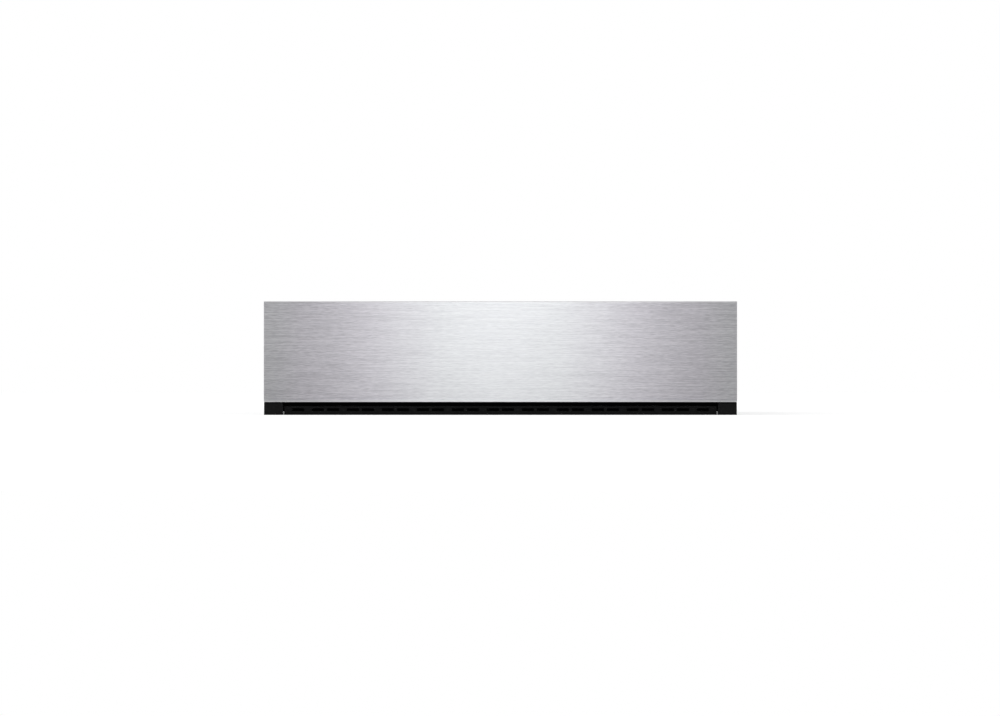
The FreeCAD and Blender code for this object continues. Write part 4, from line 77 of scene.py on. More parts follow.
# Studio: the floor's disc, what the rays see of it and of the walls, and the lamps
FLOOR_RADIUS = 6.0
FLOOR_SIDES = 96
FLOOR_COLOUR = (0.7, 0.7, 0.7)
NEAR_GLOW, FAR_GLOW = 0.5, 0.62
NEAR_FLOOR, FAR_FLOOR = 0.5, 2.2
NEAR_GLOSS = 0.12
WALL_LIGHT = 0.55
CEILING = 0.6
CEILING_FROM = 0.1
DARK_SIDE = 0.05
DARK_FROM, DARK_TO = 0.5, 0.85
FRONT_BOX_AWAY = 1.2
FRONT_BOX_HEIGHT, FRONT_BOX_AIM = 0.46, 0.26
FRONT_BOX_SIZE = 0.34, 1.1
FRONT_BOX_BRIGHTNESS = 2.32
FRONT_TINT = (0.975, 1.0, 0.995)
FRONT_BOX_SPARES = "lid_glass", "control_glass", "hinge_arms", "lid_handle"
# Place, size and brightness of the lamps that aim at the object's middle
SOFT_BOXES = {
    "key_box": ((-1.8, -1.0, 2.2), (2.0, 2.0), 1.5),
    "fill_box": ((2.2, 0.6, 1.5), (2.0, 1.6), 0.7),
    "back_box": ((-0.6, 2.4, 1.5), (2.0, 1.4), 0.5),
}

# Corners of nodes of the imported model, where other shapes follow them
panel_low, panel_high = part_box("front_panel")
bar_low, bar_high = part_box("sealing_bar")
band_low, band_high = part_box("heating_band")
handle_low, handle_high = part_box("lid_handle")
deck_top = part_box("deck")[1].z


# Camera and studio


def camera():
    """Level with the middle of the front and straight in front of it."""
    data = bpy.data.cameras.new("camera")
    data.sensor_width = CAMERA_SENSOR
    data.lens = CAMERA_SENSOR * CAMERA_DISTANCE / VIEW_WIDTH
    made = bpy.data.objects.new("camera", data)
    made.location = (CAMERA_X, panel_low.y - CAMERA_DISTANCE, CAMERA_Z)
    made.rotation_euler = (math.pi / 2, 0, 0)
    bpy.context.scene.collection.objects.link(made)
    bpy.context.scene.camera = made


def softbox(name, place, aim, size, brightness, colour=(1, 1, 1)):
    """A lamp that shines evenly from a rectangle at place towards aim."""
    data = bpy.data.lights.new(name, "AREA")
    data.shape = "RECTANGLE"
    data.color = colour
    data.size, data.size_y = size
    data.energy = brightness * math.pi * size[0] * size[1]
    lamp = bpy.data.objects.new(name, data)
    lamp.location = place
    lamp.rotation_euler = (Vector(aim) - Vector(place)).to_track_quat("-Z", "Y").to_euler()
    lamp.visible_camera = False
    bpy.context.scene.collection.objects.link(lamp)
    return lamp


def lamps():
    """A tall box before the panel, for its bright middle, and soft light all round.

    The tall box spares the glass and what lies flat on it, which would show it as a white
    block from behind.
    """
    front = softbox("front_box", (0, panel_low.y - FRONT_BOX_AWAY, FRONT_BOX_HEIGHT),
                    (0, panel_low.y, FRONT_BOX_AIM), FRONT_BOX_SIZE, FRONT_BOX_BRIGHTNESS,
                    FRONT_TINT)
    spared = bpy.data.collections.new("spared")
    front.light_linking.receiver_collection = spared
    for name in FRONT_BOX_SPARES:
        spared.objects.link(nodes[name])
    for member in spared.collection_objects:
        member.light_linking.link_state = "EXCLUDE"
    middle = Vector((0, 0, panel_high.z / 2))
    for name, (place, size, brightness) in SOFT_BOXES.items():
        softbox(name, place, middle, size, brightness)


def world():
    """White walls for the camera, glass and gloss, dark towards the front for the gloss."""
    made = bpy.data.worlds.new("studio")
    made.use_nodes = True
    bpy.context.scene.world = made
    sky = ShaderTree(made.node_tree)
    rays = sky.add("LightPath").outputs
    way = sky.add("SeparateXYZ", sky.add("TexCoord").outputs["Generated"]).outputs
    dark = sky.spread(way["Y"], -DARK_TO, -DARK_FROM, DARK_SIDE, 1.0,
                      interpolation_type="SMOOTHSTEP")
    above = sky.spread(way["Z"], CEILING_FROM, 1.0, 1.0, CEILING)
    gloss = sky.maths("MULTIPLY", rays["Is Glossy Ray"], sky.maths("MULTIPLY", dark, above))
    plain = sky.maths("SUBTRACT", 1.0, rays["Is Glossy Ray"])
    rest = sky.maths("ADD", gloss, sky.maths("MULTIPLY", plain, WALL_LIGHT))
    seen = sky.maths("MAXIMUM", rays["Is Camera Ray"], rays["Is Transmission Ray"])
    background = made.node_tree.nodes["Background"].inputs
    sky.feed(background["Strength"], sky.maths("MAXIMUM", seen, rest))
    sky.feed(background["Color"], (1, 1, 1))


def floor():
    """A pale disc that shows white, with the object's shadow on it."""
    look = Look("floor", FLOOR_COLOUR, 0.9)
    rays = look.add("LightPath").outputs
    seen = look.maths("MAXIMUM", rays["Is Camera Ray"], rays["Is Transmission Ray"])
    away = look.add("VectorMath", look.place, operation="LENGTH").outputs["Value"]
    glow = look.spread(away, NEAR_FLOOR, FAR_FLOOR, NEAR_GLOW, FAR_GLOW)
    gloss = look.spread(away, NEAR_FLOOR, FAR_FLOOR, NEAR_GLOSS, FAR_GLOW)
    glow = look.maths("MAXIMUM", look.maths("MULTIPLY", seen, glow),
                      look.maths("MULTIPLY", rays["Is Glossy Ray"], gloss))
    look.set("Specular IOR Level", 0.0)
    look.set("Emission Color", (1, 1, 1))
    look.set("Emission Strength", glow)
    turn = 2 * math.pi / FLOOR_SIDES
    ring = [(FLOOR_RADIUS * math.cos(step * turn), FLOOR_RADIUS * math.sin(step * turn), 0)
            for step in range(FLOOR_SIDES)]
    disc = shape("floor", ring, [list(range(FLOOR_SIDES))], look.material)


# Shader nodes


class ShaderTree:
    """The shader nodes of a material or of the world."""

    def __init__(self, tree):
        self.tree = tree

    def feed(self, socket, value):
        """Links an output to a socket, or sets the socket to a number or a colour."""
        if isinstance(value, bpy.types.NodeSocket):
            self.tree.links.new(value, socket)
        elif socket.type == "RGBA" and len(value) == 3:
            socket.default_value = (*value, 1)
        else:
            socket.default_value = value

    def add(self, kind, *inputs, **settings):
        """Makes a node, with its settings and its first inputs."""
        node = self.tree.nodes.new("ShaderNode" + kind)
        for name, value in settings.items():
            setattr(node, name, value)
        for socket, value in zip(node.inputs, inputs):
            self.feed(socket, value)
        return node

    def maths(self, operation, *values):
        """One operation on numbers."""
        return self.add("Math", *values, operation=operation).outputs[0]

    def spread(self, value, low, high, start=0.0, end=1.0, **settings):
        """A value from low to high, turned into start to end and held there."""
        return self.add("MapRange", value, low, high, start, end, **settings).outputs[0]


class Look(ShaderTree):
    """One material. Its textures are placed in metres in the object's own frame."""

    def __init__(self, name, colour, roughness, metallic=0.0):
        self.material = bpy.data.materials.new(name)
        self.material.use_nodes = True
        super().__init__(self.material.node_tree)
        self.shader = self.tree.nodes["Principled BSDF"]
        self.place = self.add("TexCoord").outputs["Object"]
        self.axes = self.add("SeparateXYZ", self.place).outputs
        self.normal = None
        self.set("Base Color", colour)
        self.set("Roughness", roughness)
        self.set("Metallic", metallic)

    def set(self, name, value):
        """Sets one of the shader's own sockets."""
        self.feed(self.shader.inputs[name], value)

    def colour(self):
        """The output that the shader's colour comes from so far."""
        return self.shader.inputs["Base Color"].links[0].from_socket

    def mix(self, share, first, second):
        """The first colour where share is 0, the second where it is 1."""
        node = self.add("Mix", share, data_type="RGBA")
        self.feed(node.inputs[6], first)
        self.feed(node.inputs[7], second)
        return node.outputs[2]

    def between(self, share, first, second):
        """The first number where share is 0, the second where it is 1."""
        node = self.add("Mix", share)
        self.feed(node.inputs[2], first)
        self.feed(node.inputs[3], second)
        return node.outputs[0]

    def scaled(self, size, shift=0.0):
        """The place in steps of a size, which is one length or a length along each axis."""
        lengths = size if isinstance(size, tuple) else (size,) * 3
        steps = [1 / length for length in lengths]
        return self.add("VectorMath", self.place, steps, (shift,) * 3,
                        operation="MULTIPLY_ADD").outputs[0]

    def grain(self, size, detail=2.0, shift=0.0):
        """Noise about a half, with specks of that size."""
        node = self.add("TexNoise", self.scaled(size, shift))
        node.inputs["Scale"].default_value = 1.0
        node.inputs["Detail"].default_value = detail
        return node.outputs["Fac"]

    def cells(self, size, **settings):
        """Cells of that size: the distance to a cell's point, and its own colour."""
        node = self.add("TexVoronoi", self.scaled(size), **settings)
        node.inputs["Scale"].default_value = 1.0
        return node.outputs

    def tone(self, value, first, second, low=0.3, high=0.7):
        """The first colour where the value is low, the second where it is high."""
        return self.mix(self.spread(value, low, high), first, second)

    def tint(self, *tones):
        """Colours the surface with such a tone."""
        self.set("Base Color", self.tone(*tones))

    def dull(self, value, first, second, low=0.3, high=0.7):
        """Makes the roughness go from first to second in the same way."""
        self.set("Roughness", self.spread(value, low, high, first, second))

    def within(self, x=None, y=None, z=None):
        """1 where the place is inside these spans, in millimetres, and 0 elsewhere."""
        found = 1.0
        for along, span in zip(self.axes, (x, y, z)):
            if span:
                low, high = span
                here = self.maths("COMPARE", along, (low + high) / 2 * MM,
                                  (high - low) / 2 * MM)
                found = self.maths("MULTIPLY", found, here)
        return found

    def relief(self, height, depth):
        """Bumps, that deep in metres where height goes from 0 to 1."""
        node = self.add("Bump")
        node.inputs["Distance"].default_value = depth
        self.feed(node.inputs["Height"], height)
        if self.normal:
            self.feed(node.inputs["Normal"], self.normal)
        self.normal = node.outputs[0]
        self.set("Normal", self.normal)

    def brush(self, across, amount):
        """Stretches highlights along the direction across, square to the brushing."""
        way = self.add("CombineXYZ", *across)
        self.set("Tangent", way.outputs[0])
        self.set("Anisotropic", amount)

    def pass_lamps(self, tint):
        """Lets the lamps' light through clear glass, in that tint."""
        rays = self.add("LightPath")
        clear = self.add("BsdfTransparent", tint)
        both = self.add("MixShader", rays.outputs["Is Shadow Ray"],
                        self.shader.outputs[0], clear.outputs[0])
        output = self.tree.nodes["Material Output"]
        self.tree.links.new(both.outputs[0], output.inputs["Surface"])


# Materials, one for each slot of the record and for nodes that hold several stuffs


def brushed(name, low, high, roughness, strokes, across, amount):
    """Brushed steel: two layers of strokes in its colour, roughness and relief."""
    look = Look(name, low, roughness, 1.0)
    long, short = strokes
    fine = look.grain(short, 3.0)
    broad = look.grain(long, 2.0, 7.0)
    look.strokes = look.between(0.4, fine, broad)
    look.tint(look.strokes, low, high)
    look.dull(look.strokes, roughness - 0.03, roughness + 0.03)
    look.relief(fine, 0.002 * MM)
    look.brush(across, amount)
    return look


# The front's strokes grow deeper between two distances from its middle, and a painted mauve
# reflection lies between its middle and its ends. Its folds end at these distances from its edges;
# the low and top folds are painted bright, as wear and as a painted highlight.
DEPTH_FROM, DEPTH_TO = 30 * MM, 260 * MM
DEPTH_MIDDLE, DEPTH_END = 3.0, 5.9
MAUVE_REFLECTION_FROM, MAUVE_REFLECTION_FULL = 70 * MM, 170 * MM
MAUVE_REFLECTION_FADES, MAUVE_REFLECTION_FADED, MAUVE_REFLECTION_LEFT = 250 * MM, 290 * MM, 0.2
SIDE_FOLD = 0.3 * MM
LOW_FOLD_FULL, LOW_FOLD_END = 1.2 * MM, 2.4 * MM
TOP_FOLD_FULL, TOP_FOLD_END, TOP_FOLD_SHARE = 0.6 * MM, 1.6 * MM, 0.5


def front_steel():
    """The front: its strokes are deeper towards the ends, a painted mauve reflection lies between
    its middle and its ends, and its folds are worn and painted bright as a highlight.
    """
    strokes = (40 * MM, 2 * MM, 0.7 * MM), (8.5 * MM, 1.2 * MM, 0.4 * MM)
    look = brushed("front_steel", (0.6, 0.6, 0.61), (0.65, 0.65, 0.66), 0.36, strokes,
                   (0, 0, 1), 0.75)
    away, up = look.maths("ABSOLUTE", look.axes["X"]), look.axes["Z"]
    side = look.maths("GREATER_THAN", away, panel_high.x - SIDE_FOLD)
    side_strokes = look.grain((2 * MM, 9 * MM, 0.6 * MM), 3.0, 4.0)
    strokes = look.between(side, look.strokes, side_strokes)
    depth = look.spread(away, DEPTH_FROM, DEPTH_TO, DEPTH_MIDDLE, DEPTH_END)
    share = look.maths("MULTIPLY_ADD", look.maths("SUBTRACT", strokes, 0.5), depth, 0.5)
    grey = look.mix(share, (0.51, 0.508, 0.53), (0.74, 0.741, 0.755))
    # The same greys with a painted mauve reflection in them
    painted_mauve_reflection = look.mix(share, (0.512, 0.492, 0.533), (0.742, 0.716, 0.76))
    # Where the painted mauve reflection lies: a band between the front's middle and its ends
    band = look.maths("MULTIPLY", look.spread(away, MAUVE_REFLECTION_FROM, MAUVE_REFLECTION_FULL),
                      look.spread(away, MAUVE_REFLECTION_FADES, MAUVE_REFLECTION_FADED, 1.0, MAUVE_REFLECTION_LEFT))
    # The low and top folds are painted paler: partly wear, partly a painted highlight along the
    # edges
    low_fold_wear_and_highlight = look.spread(up, panel_low.z + LOW_FOLD_FULL, panel_low.z + LOW_FOLD_END, 1.0, 0.0)
    top_fold_wear_and_highlight = look.spread(up, panel_high.z - TOP_FOLD_END, panel_high.z - TOP_FOLD_FULL,
                           0.0, TOP_FOLD_SHARE)
    fold_wear_and_highlight = look.maths("MAXIMUM", low_fold_wear_and_highlight, top_fold_wear_and_highlight)
    # Greys, painted mauve reflection, and the folds' pale wear and painted highlight
    look.set("Base Color", look.mix(fold_wear_and_highlight, look.mix(band, grey, painted_mauve_reflection), (0.8, 0.8, 0.81)))
    return look.material


def deck_steel():
    """Brushed along X, more finely than the front."""
    strokes = (60 * MM, 1.1 * MM, 8 * MM), (15 * MM, 0.4 * MM, 4 * MM)
    return brushed("deck_steel", (0.595, 0.595, 0.605), (0.69, 0.69, 0.697), 0.3,
                   strokes, (0, 1, 0), 0.7).material


def hinge_steel():
    """Brushed along the shaft."""
    strokes = (30 * MM, 0.5 * MM, 0.5 * MM), (8 * MM, 0.25 * MM, 0.25 * MM)
    return brushed("hinge_steel", (0.52, 0.52, 0.54), (0.64, 0.64, 0.655), 0.28,
                   strokes, (0, 1, 0), 0.5).material


def chamber_steel():
    """Deep-drawn satin steel, with faint draw marks down its walls."""
    look = Look("chamber_steel", (0.64, 0.64, 0.65), 0.3, 1.0)
    marks = look.grain((5 * MM, 5 * MM, 70 * MM), 2.0)
    cloud = look.grain(60 * MM, 3.0, 3.0)
    shade = look.between(0.5, marks, cloud)
    look.tint(shade, (0.58, 0.58, 0.59), (0.69, 0.69, 0.70))
    look.dull(marks, 0.27, 0.33, 0.1, 0.9)
    look.relief(marks, 0.003 * MM)
    return look.material


def galvanised():
    """Zinc-coated sheet with its flowers, dulled a little unevenly."""
    look = Look("galvanised", (0.62, 0.63, 0.64), 0.4, 1.0)
    flower = look.cells(5 * MM)
    tone = look.add("SeparateColor", flower["Color"]).outputs
    dull = look.grain(80 * MM, 3.0)
    crystals = look.grain(1.4 * MM, 3.0, 2.0)
    shade = look.between(0.4, tone[0], crystals)
    grey = look.mix(shade, (0.53, 0.54, 0.55), (0.63, 0.64, 0.645))
    look.set("Base Color", look.mix(look.spread(dull, 0.35, 0.75, 0.0, 0.4), grey,
                                    (0.53, 0.54, 0.55)))
    look.dull(tone[1], 0.34, 0.42, 0.0, 1.0)
    look.relief(crystals, 0.01 * MM)
    return look.material


def runner_steel():
    """Zinc-plated rails with long rub marks and a trace of grease."""
    look = Look("runner_steel", (0.6, 0.61, 0.62), 0.3, 1.0)
    rubs = look.grain((0.7 * MM, 60 * MM, 0.7 * MM), 3.0)
    grease = look.grain((12 * MM, 45 * MM, 6 * MM), 3.0, 5.0)
    look.tint(rubs, (0.56, 0.57, 0.585), (0.64, 0.65, 0.66))
    look.dull(grease, 0.36, 0.28, 0.35, 0.7)
    look.relief(rubs, 0.0015 * MM)
    return look.material


def ball_steel():
    """Polished balls between duller plated cages."""
    look = Look("ball_steel", (0.75, 0.75, 0.76), 0.12, 1.0)
    film = look.grain((3 * MM, 6 * MM, 3 * MM), 3.0)
    look.tint(film, (0.78, 0.78, 0.79), (0.68, 0.67, 0.65), 0.35, 0.7)
    look.dull(film, 0.08, 0.22)
    return look.material


def screw_steel():
    """Bright plating with fine spots."""
    look = Look("screw_steel", (0.7, 0.7, 0.71), 0.22, 1.0)
    spots = look.grain(0.5 * MM, 3.0)
    look.tint(spots, (0.62, 0.62, 0.63), (0.76, 0.76, 0.77))
    look.dull(spots, 0.18, 0.3)
    look.relief(spots, 0.01 * MM)
    return look.material


def moulded(name, low, high, roughness, grain_size, depth, gloss=0.5):
    """Moulded plastic: spark-eroded grain and slightly uneven colour."""
    look = Look(name, low, roughness)
    fine = look.grain(grain_size, 3.0)
    cloud = look.grain(30 * MM, 2.0, 4.0)
    look.tint(cloud, low, high)
    look.dull(fine, roughness - 0.06, roughness + 0.06)
    look.set("Specular IOR Level", gloss)
    look.relief(fine, depth)
    return look


def black_trim():
    return moulded("black_trim", (0.0035, 0.0035, 0.0037), (0.0055, 0.0055, 0.0058), 0.55,
                   0.5 * MM, 0.02 * MM, 0.12).material


def side_trim():
    return moulded("side_trim", (0.0048, 0.0048, 0.005), (0.0075, 0.0075, 0.0078), 0.5,
                   0.5 * MM, 0.02 * MM, 0.15).material


def dark_plastic():
    return moulded("dark_plastic", (0.03, 0.03, 0.032), (0.042, 0.042, 0.045), 0.42,
                   0.6 * MM, 0.02 * MM).material


def grey_board():
    """Pressed board with fibres of two greys."""
    look = Look("grey_board", (0.16, 0.16, 0.165), 0.8)
    fibres = look.grain((6 * MM, 1 * MM, 1.5 * MM), 4.0)
    flecks = look.cells(3 * MM)
    grey = look.tone(fibres, (0.11, 0.11, 0.115), (0.22, 0.22, 0.225))
    fleck = look.spread(flecks["Distance"], 0.1, 0.3, 0.35, 0.0)
    look.set("Base Color", look.mix(fleck, grey, (0.3, 0.3, 0.3)))
    look.relief(fibres, 0.08 * MM)
    return look.material


def foot_rubber():
    return moulded("foot_rubber", (0.022, 0.022, 0.022), (0.04, 0.04, 0.039), 0.75,
                   0.8 * MM, 0.03 * MM, 0.3).material


def silicone(name, low, high, roughness):
    """Soft cast rubber: faint cloud, dust and a fine skin."""
    look = Look(name, low, roughness)
    cloud = look.grain(14 * MM, 3.0)
    skin = look.grain(0.4 * MM, 2.0, 2.0)
    look.tint(cloud, low, high)
    look.dull(skin, roughness - 0.06, roughness + 0.08)
    look.set("Subsurface Weight", 0.15)
    look.set("Subsurface Radius", (1.0, 0.9, 0.85))
    look.set("Subsurface Scale", 1.5 * MM)
    look.relief(skin, 0.012 * MM)
    return look.material


def white_silicone():
    return silicone("white_silicone", (0.58, 0.59, 0.58), (0.66, 0.67, 0.66), 0.48)


def red_silicone():
    return silicone("red_silicone", (0.38, 0.065, 0.04), (0.46, 0.095, 0.06), 0.5)


def lid_glass():
    """Clear toughened glass, faintly green."""
    look = Look("lid_glass", (0.965, 0.985, 0.978), 0.0)
    cloud = look.grain(90 * MM, 2.0)
    look.set("Base Color", look.mix(cloud, (0.955, 0.98, 0.971), (0.972, 0.988, 0.983)))
    look.set("Transmission Weight", 1.0)
    look.set("IOR", 1.52)
    look.pass_lamps((0.92, 0.955, 0.945))
    return look.material


def touch_glass():
    """Black printed glass with faint smears."""
    look = Look("touch_glass", (0.006, 0.006, 0.0065), 0.06)
    marks = look.grain((18 * MM, 30 * MM, 18 * MM), 4.0)
    look.tint(marks, (0.005, 0.005, 0.0055), (0.011, 0.011, 0.012), 0.5, 0.8)
    look.dull(marks, 0.03, 0.16, 0.45, 0.8)
    look.set("IOR", 1.52)
    return look.material


def aluminium():
    """Bead-blasted and anodised."""
    look = Look("aluminium", (0.7, 0.7, 0.71), 0.38, 1.0)
    beads = look.cells(0.35 * MM)
    cloud = look.grain(25 * MM, 3.0)
    look.tint(cloud, (0.66, 0.66, 0.67), (0.74, 0.74, 0.75))
    look.dull(cloud, 0.33, 0.42)
    look.relief(beads["Distance"], 0.02 * MM)
    return look.material


def cast_aluminium():
    """Rough from the mould, with darker pores."""
    look = Look("cast_aluminium", (0.5, 0.5, 0.51), 0.5, 1.0)
    pores = look.grain(1.2 * MM, 4.0)
    cloud = look.grain(35 * MM, 3.0, 6.0)
    shade = look.between(0.5, pores, cloud)
    look.tint(shade, (0.42, 0.42, 0.43), (0.57, 0.57, 0.58), 0.35, 0.65)
    look.dull(pores, 0.58, 0.42)
    look.relief(pores, 0.12 * MM)
    return look.material


def spring_steel():
    """Oiled wire."""
    look = Look("spring_steel", (0.4, 0.4, 0.42), 0.25, 1.0)
    oil = look.grain(2 * MM, 3.0)
    look.tint(oil, (0.36, 0.36, 0.38), (0.5, 0.49, 0.48))
    look.dull(oil, 0.2, 0.34)
    return look.material


def heater():
    """Woven glass cloth with a brown coating that doesn't stick."""
    look = Look("heater", (0.3, 0.19, 0.1), 0.45)
    thread = 0.55 * MM
    over = look.maths("SINE", look.maths("MULTIPLY", look.axes["X"], 2 * math.pi / thread))
    under = look.maths("SINE", look.maths("MULTIPLY", look.axes["Y"], 2 * math.pi / thread))
    weave = look.spread(look.maths("MULTIPLY", over, under), -1.0, 1.0)
    stain = look.grain((22 * MM, 6 * MM, 6 * MM), 3.0)
    brown = look.tone(stain, (0.24, 0.14, 0.07), (0.36, 0.235, 0.13))
    dent = look.maths("MULTIPLY", weave, 0.4)
    look.set("Base Color", look.mix(dent, brown, (0.2, 0.12, 0.06)))
    look.dull(stain, 0.4, 0.55)
    look.relief(weave, 0.05 * MM)
    return look.material


# Nodes that hold several stuffs: each part of the node is found by its place


def motor_paint():
    """Grey enamel on the finned tube and black on the fan's cowl."""
    look = Look("motor_paint", (0.12, 0.12, 0.125), 0.38)
    peel = look.grain(1.6 * MM, 2.0)
    cowl = look.within(x=(-220, -190.4))
    grey = look.tone(peel, (0.11, 0.11, 0.115), (0.14, 0.14, 0.146))
    look.set("Base Color", look.mix(cowl, grey, (0.03, 0.03, 0.032)))
    look.dull(peel, 0.32, 0.44)
    look.set("Coat Weight", 0.2)
    look.relief(peel, 0.05 * MM)
    return look.material


def mains_inlet():
    """Black moulding with three nickel-plated pins deep in its socket."""
    look = moulded("mains_inlet", (0.02, 0.02, 0.021), (0.028, 0.028, 0.03), 0.4,
                   0.5 * MM, 0.02 * MM)
    pins = look.within(x=(-210, -190), y=(258.1, 268.6), z=(55.5, 64.5))
    look.set("Metallic", pins)
    look.set("Base Color", look.mix(pins, look.colour(), (0.72, 0.68, 0.6)))
    return look.material


BOARD_TOP = 23.15 * MM
# Where the parts on the board lie, in millimetres along x, y and z, and their colour
BOARD_PARTS = {
    "capacitors": ((165, 213), (-176, -154), None, (0.01, 0.02, 0.05)),
    "capacitor_tops": ((165, 213), (-176, -154), (48.9, 50), (0.6, 0.6, 0.61)),
    "heat_sink": ((166, 210), (-142, -122), None, (0.03, 0.03, 0.032)),
    "relays": ((218, 245), (-177, -110), None, (0.02, 0.045, 0.16)),
    "terminals": ((168, 231), (-84, -72), None, (0.55, 0.56, 0.54)),
}


def circuit_board():
    """Green board: its parts are told apart by their place on it."""
    look = Look("circuit_board", (0.02, 0.16, 0.06), 0.35)
    tracks = look.cells(4 * MM, feature="F1", distance="MANHATTAN")
    track = look.spread(tracks["Distance"], 0.42, 0.46)
    green = look.mix(track, (0.012, 0.12, 0.045), (0.03, 0.2, 0.08))
    parts = (0.02, 0.02, 0.021)
    for x, y, z, colour in BOARD_PARTS.values():
        parts = look.mix(look.within(x, y, z), parts, colour)
    above = look.maths("GREATER_THAN", look.axes["Z"], BOARD_TOP)
    look.set("Base Color", look.mix(above, green, parts))
    fine = look.grain(0.4 * MM, 3.0)
    look.dull(fine, 0.3, 0.5)
    look.relief(track, 0.03 * MM)
    return look.material


def windings():
    """Steel core in sheets round a coil wrapped in amber tape."""
    look = Look("windings", (0.2, 0.11, 0.05), 0.45)
    sheet = 1 * MM
    sheets = look.maths("SINE", look.maths("MULTIPLY", look.axes["Y"], 2 * math.pi / sheet))
    core = look.within(y=(-49.1, -16.9))
    tape = look.grain((30 * MM, 2 * MM, 6 * MM), 3.0)
    amber = look.tone(tape, (0.33, 0.19, 0.04), (0.5, 0.32, 0.08))
    steel = look.tone(sheets, (0.16, 0.16, 0.17), (0.27, 0.27, 0.28), -1.0, 1.0)
    look.set("Base Color", look.mix(core, amber, steel))
    look.dull(tape, 0.35, 0.55)
    look.relief(sheets, 0.03 * MM)
    return look.material


def valve_metal():
    """Aluminium block, black coils on it and steel stems."""
    look = Look("valve_metal", (0.66, 0.66, 0.67), 0.35, 1.0)
    coils = look.within(z=(69.05, 79.95))
    cloud = look.grain(9 * MM, 3.0)
    metal = look.tone(cloud, (0.6, 0.6, 0.61), (0.72, 0.72, 0.73))
    look.set("Base Color", look.mix(coils, metal, (0.022, 0.022, 0.024)))
    look.set("Metallic", look.maths("SUBTRACT", 1.0, coils))
    look.dull(cloud, 0.28, 0.42)
    look.relief(look.grain(0.6 * MM, 3.0, 3.0), 0.02 * MM)
    return look.material


def control_tray():
    """Black tray with the green display board and its pale lamps in it."""
    look = moulded("control_tray", (0.025, 0.025, 0.026), (0.035, 0.035, 0.037), 0.5,
                   0.6 * MM, 0.02 * MM)
    board = look.within(x=(168.7, 241.9), y=(-218.6, -35.4), z=(89.55, 91.25))
    lamp = look.within(x=(180, 231), y=(-190, -60), z=(91.25, 106.7))
    shade = look.mix(board, look.colour(), (0.02, 0.15, 0.06))
    look.set("Base Color", look.mix(lamp, shade, (0.6, 0.61, 0.6)))
    return look.material


def muffler():
    """Black can with a sintered bronze end."""
    look = moulded("muffler", (0.02, 0.02, 0.021), (0.03, 0.03, 0.032), 0.5,
                   0.7 * MM, 0.03 * MM)
    end = look.within(y=(98, 99.2))
    beads = look.cells(0.8 * MM)
    bronze = look.mix(beads["Distance"], (0.5, 0.33, 0.14), (0.2, 0.12, 0.05))
    look.set("Base Color", look.mix(end, look.colour(), bronze))
    look.set("Metallic", end)
    return look.material


# Materials of single nodes, and of the slots, which have the names of their functions
OWN_MATERIALS = {
    "side_trim_left": side_trim,
    "side_trim_right": side_trim,
    "mains_inlet": mains_inlet,
    "valve_block": valve_metal,
    "control_tray": control_tray,
    "exhaust_filter": muffler,
}
MATERIALS = {maker.__name__: maker for maker in (
    galvanised, front_steel, deck_steel, chamber_steel, runner_steel, ball_steel, screw_steel,
    black_trim, dark_plastic, grey_board, foot_rubber, white_silicone, red_silicone, lid_glass,
    touch_glass, aluminium, cast_aluminium, hinge_steel, spring_steel, heater, motor_paint,
    circuit_board, windings,
)}
made_materials = {}


def material(slot, maker=None):
    """The material of a slot, or the one that a function makes, made once."""
    maker = maker or MATERIALS[slot]
    if maker not in made_materials:
        made_materials[maker] = maker()
    return made_materials[maker]


def dress_nodes():
    """Gives each node its own material, or that of its slot."""
    for part in frame["record"]["subparts"]:
        name = part["node"]
        slots = nodes[name].data.materials
        slots.clear()
        slots.append(material(part["material_slot"], OWN_MATERIALS.get(name)))


# Meshes


def shape(name, points, faces, surface):
    """A mesh object from points in metres and faces."""
    mesh = bpy.data.meshes.new(name)
    mesh.from_pydata([tuple(point) for point in points], [], faces)
    mesh.validate()
    mesh.update()
    mesh.materials.append(surface)
    made = bpy.data.objects.new(name, mesh)
    bpy.context.scene.collection.objects.link(made)
    return made


def turned(profile, steps=48):
    """A profile of (radius, height) turned about Z; a radius may be a function of the angle."""
    points, rings, faces = [], [], []
    for radius, height in profile:
        if radius == 0:
            rings.append([len(points)] * steps)
            points.append(Vector((0, 0, height)))
            continue
        rings.append(range(len(points), len(points) + steps))
        for step in range(steps):
            angle = 2 * math.pi * step / steps
            reach = radius(angle) if callable(radius) else radius
            points.append(Vector((reach * math.cos(angle), reach * math.sin(angle), height)))
    for low, high in zip(rings, rings[1:]):
        for step in range(steps):
            after = (step + 1) % steps
            corners = (low[step], low[after], high[after], high[step])
            faces.append(list(dict.fromkeys(corners)))
    return points, faces


def block(low, high, edge):
    """A box between two corners, with rounded edges."""
    low, high = Vector(low), Vector(high)
    mesh = bmesh.new()
    bmesh.ops.create_cube(mesh, size=1)
    place = Matrix.Translation((low + high) / 2) @ Matrix.Diagonal((*(high - low), 1))
    bmesh.ops.transform(mesh, matrix=place, verts=mesh.verts)
    bmesh.ops.bevel(mesh, geom=mesh.edges[:], offset=edge, segments=3, profile=0.5,
                    affect="EDGES")
    made = read(mesh)
    mesh.free()
    return made


def read(mesh):
    """Points and faces of a bmesh."""
    mesh.verts.index_update()
    return ([point.co.copy() for point in mesh.verts],
            [[point.index for point in face.verts] for face in mesh.faces])


def drawn_out(outline, low, high):
    """A closed outline of (y, z) points drawn out along X."""
    count = len(outline)
    points = [Vector((x, y, z)) for x in (low, high) for y, z in outline]
    faces = [list(range(count))[::-1], list(range(count, 2 * count))]
    for index in range(count):
        after = (index + 1) % count
        faces.append([index, after, count + after, count + index])
    return points, faces


def joined(*parts):
    """Several sets of points and faces as one."""
    points, faces = [], []
    for more_points, more_faces in parts:
        start = len(points)
        points += more_points
        faces += [[start + corner for corner in face] for face in more_faces]
    return points, faces


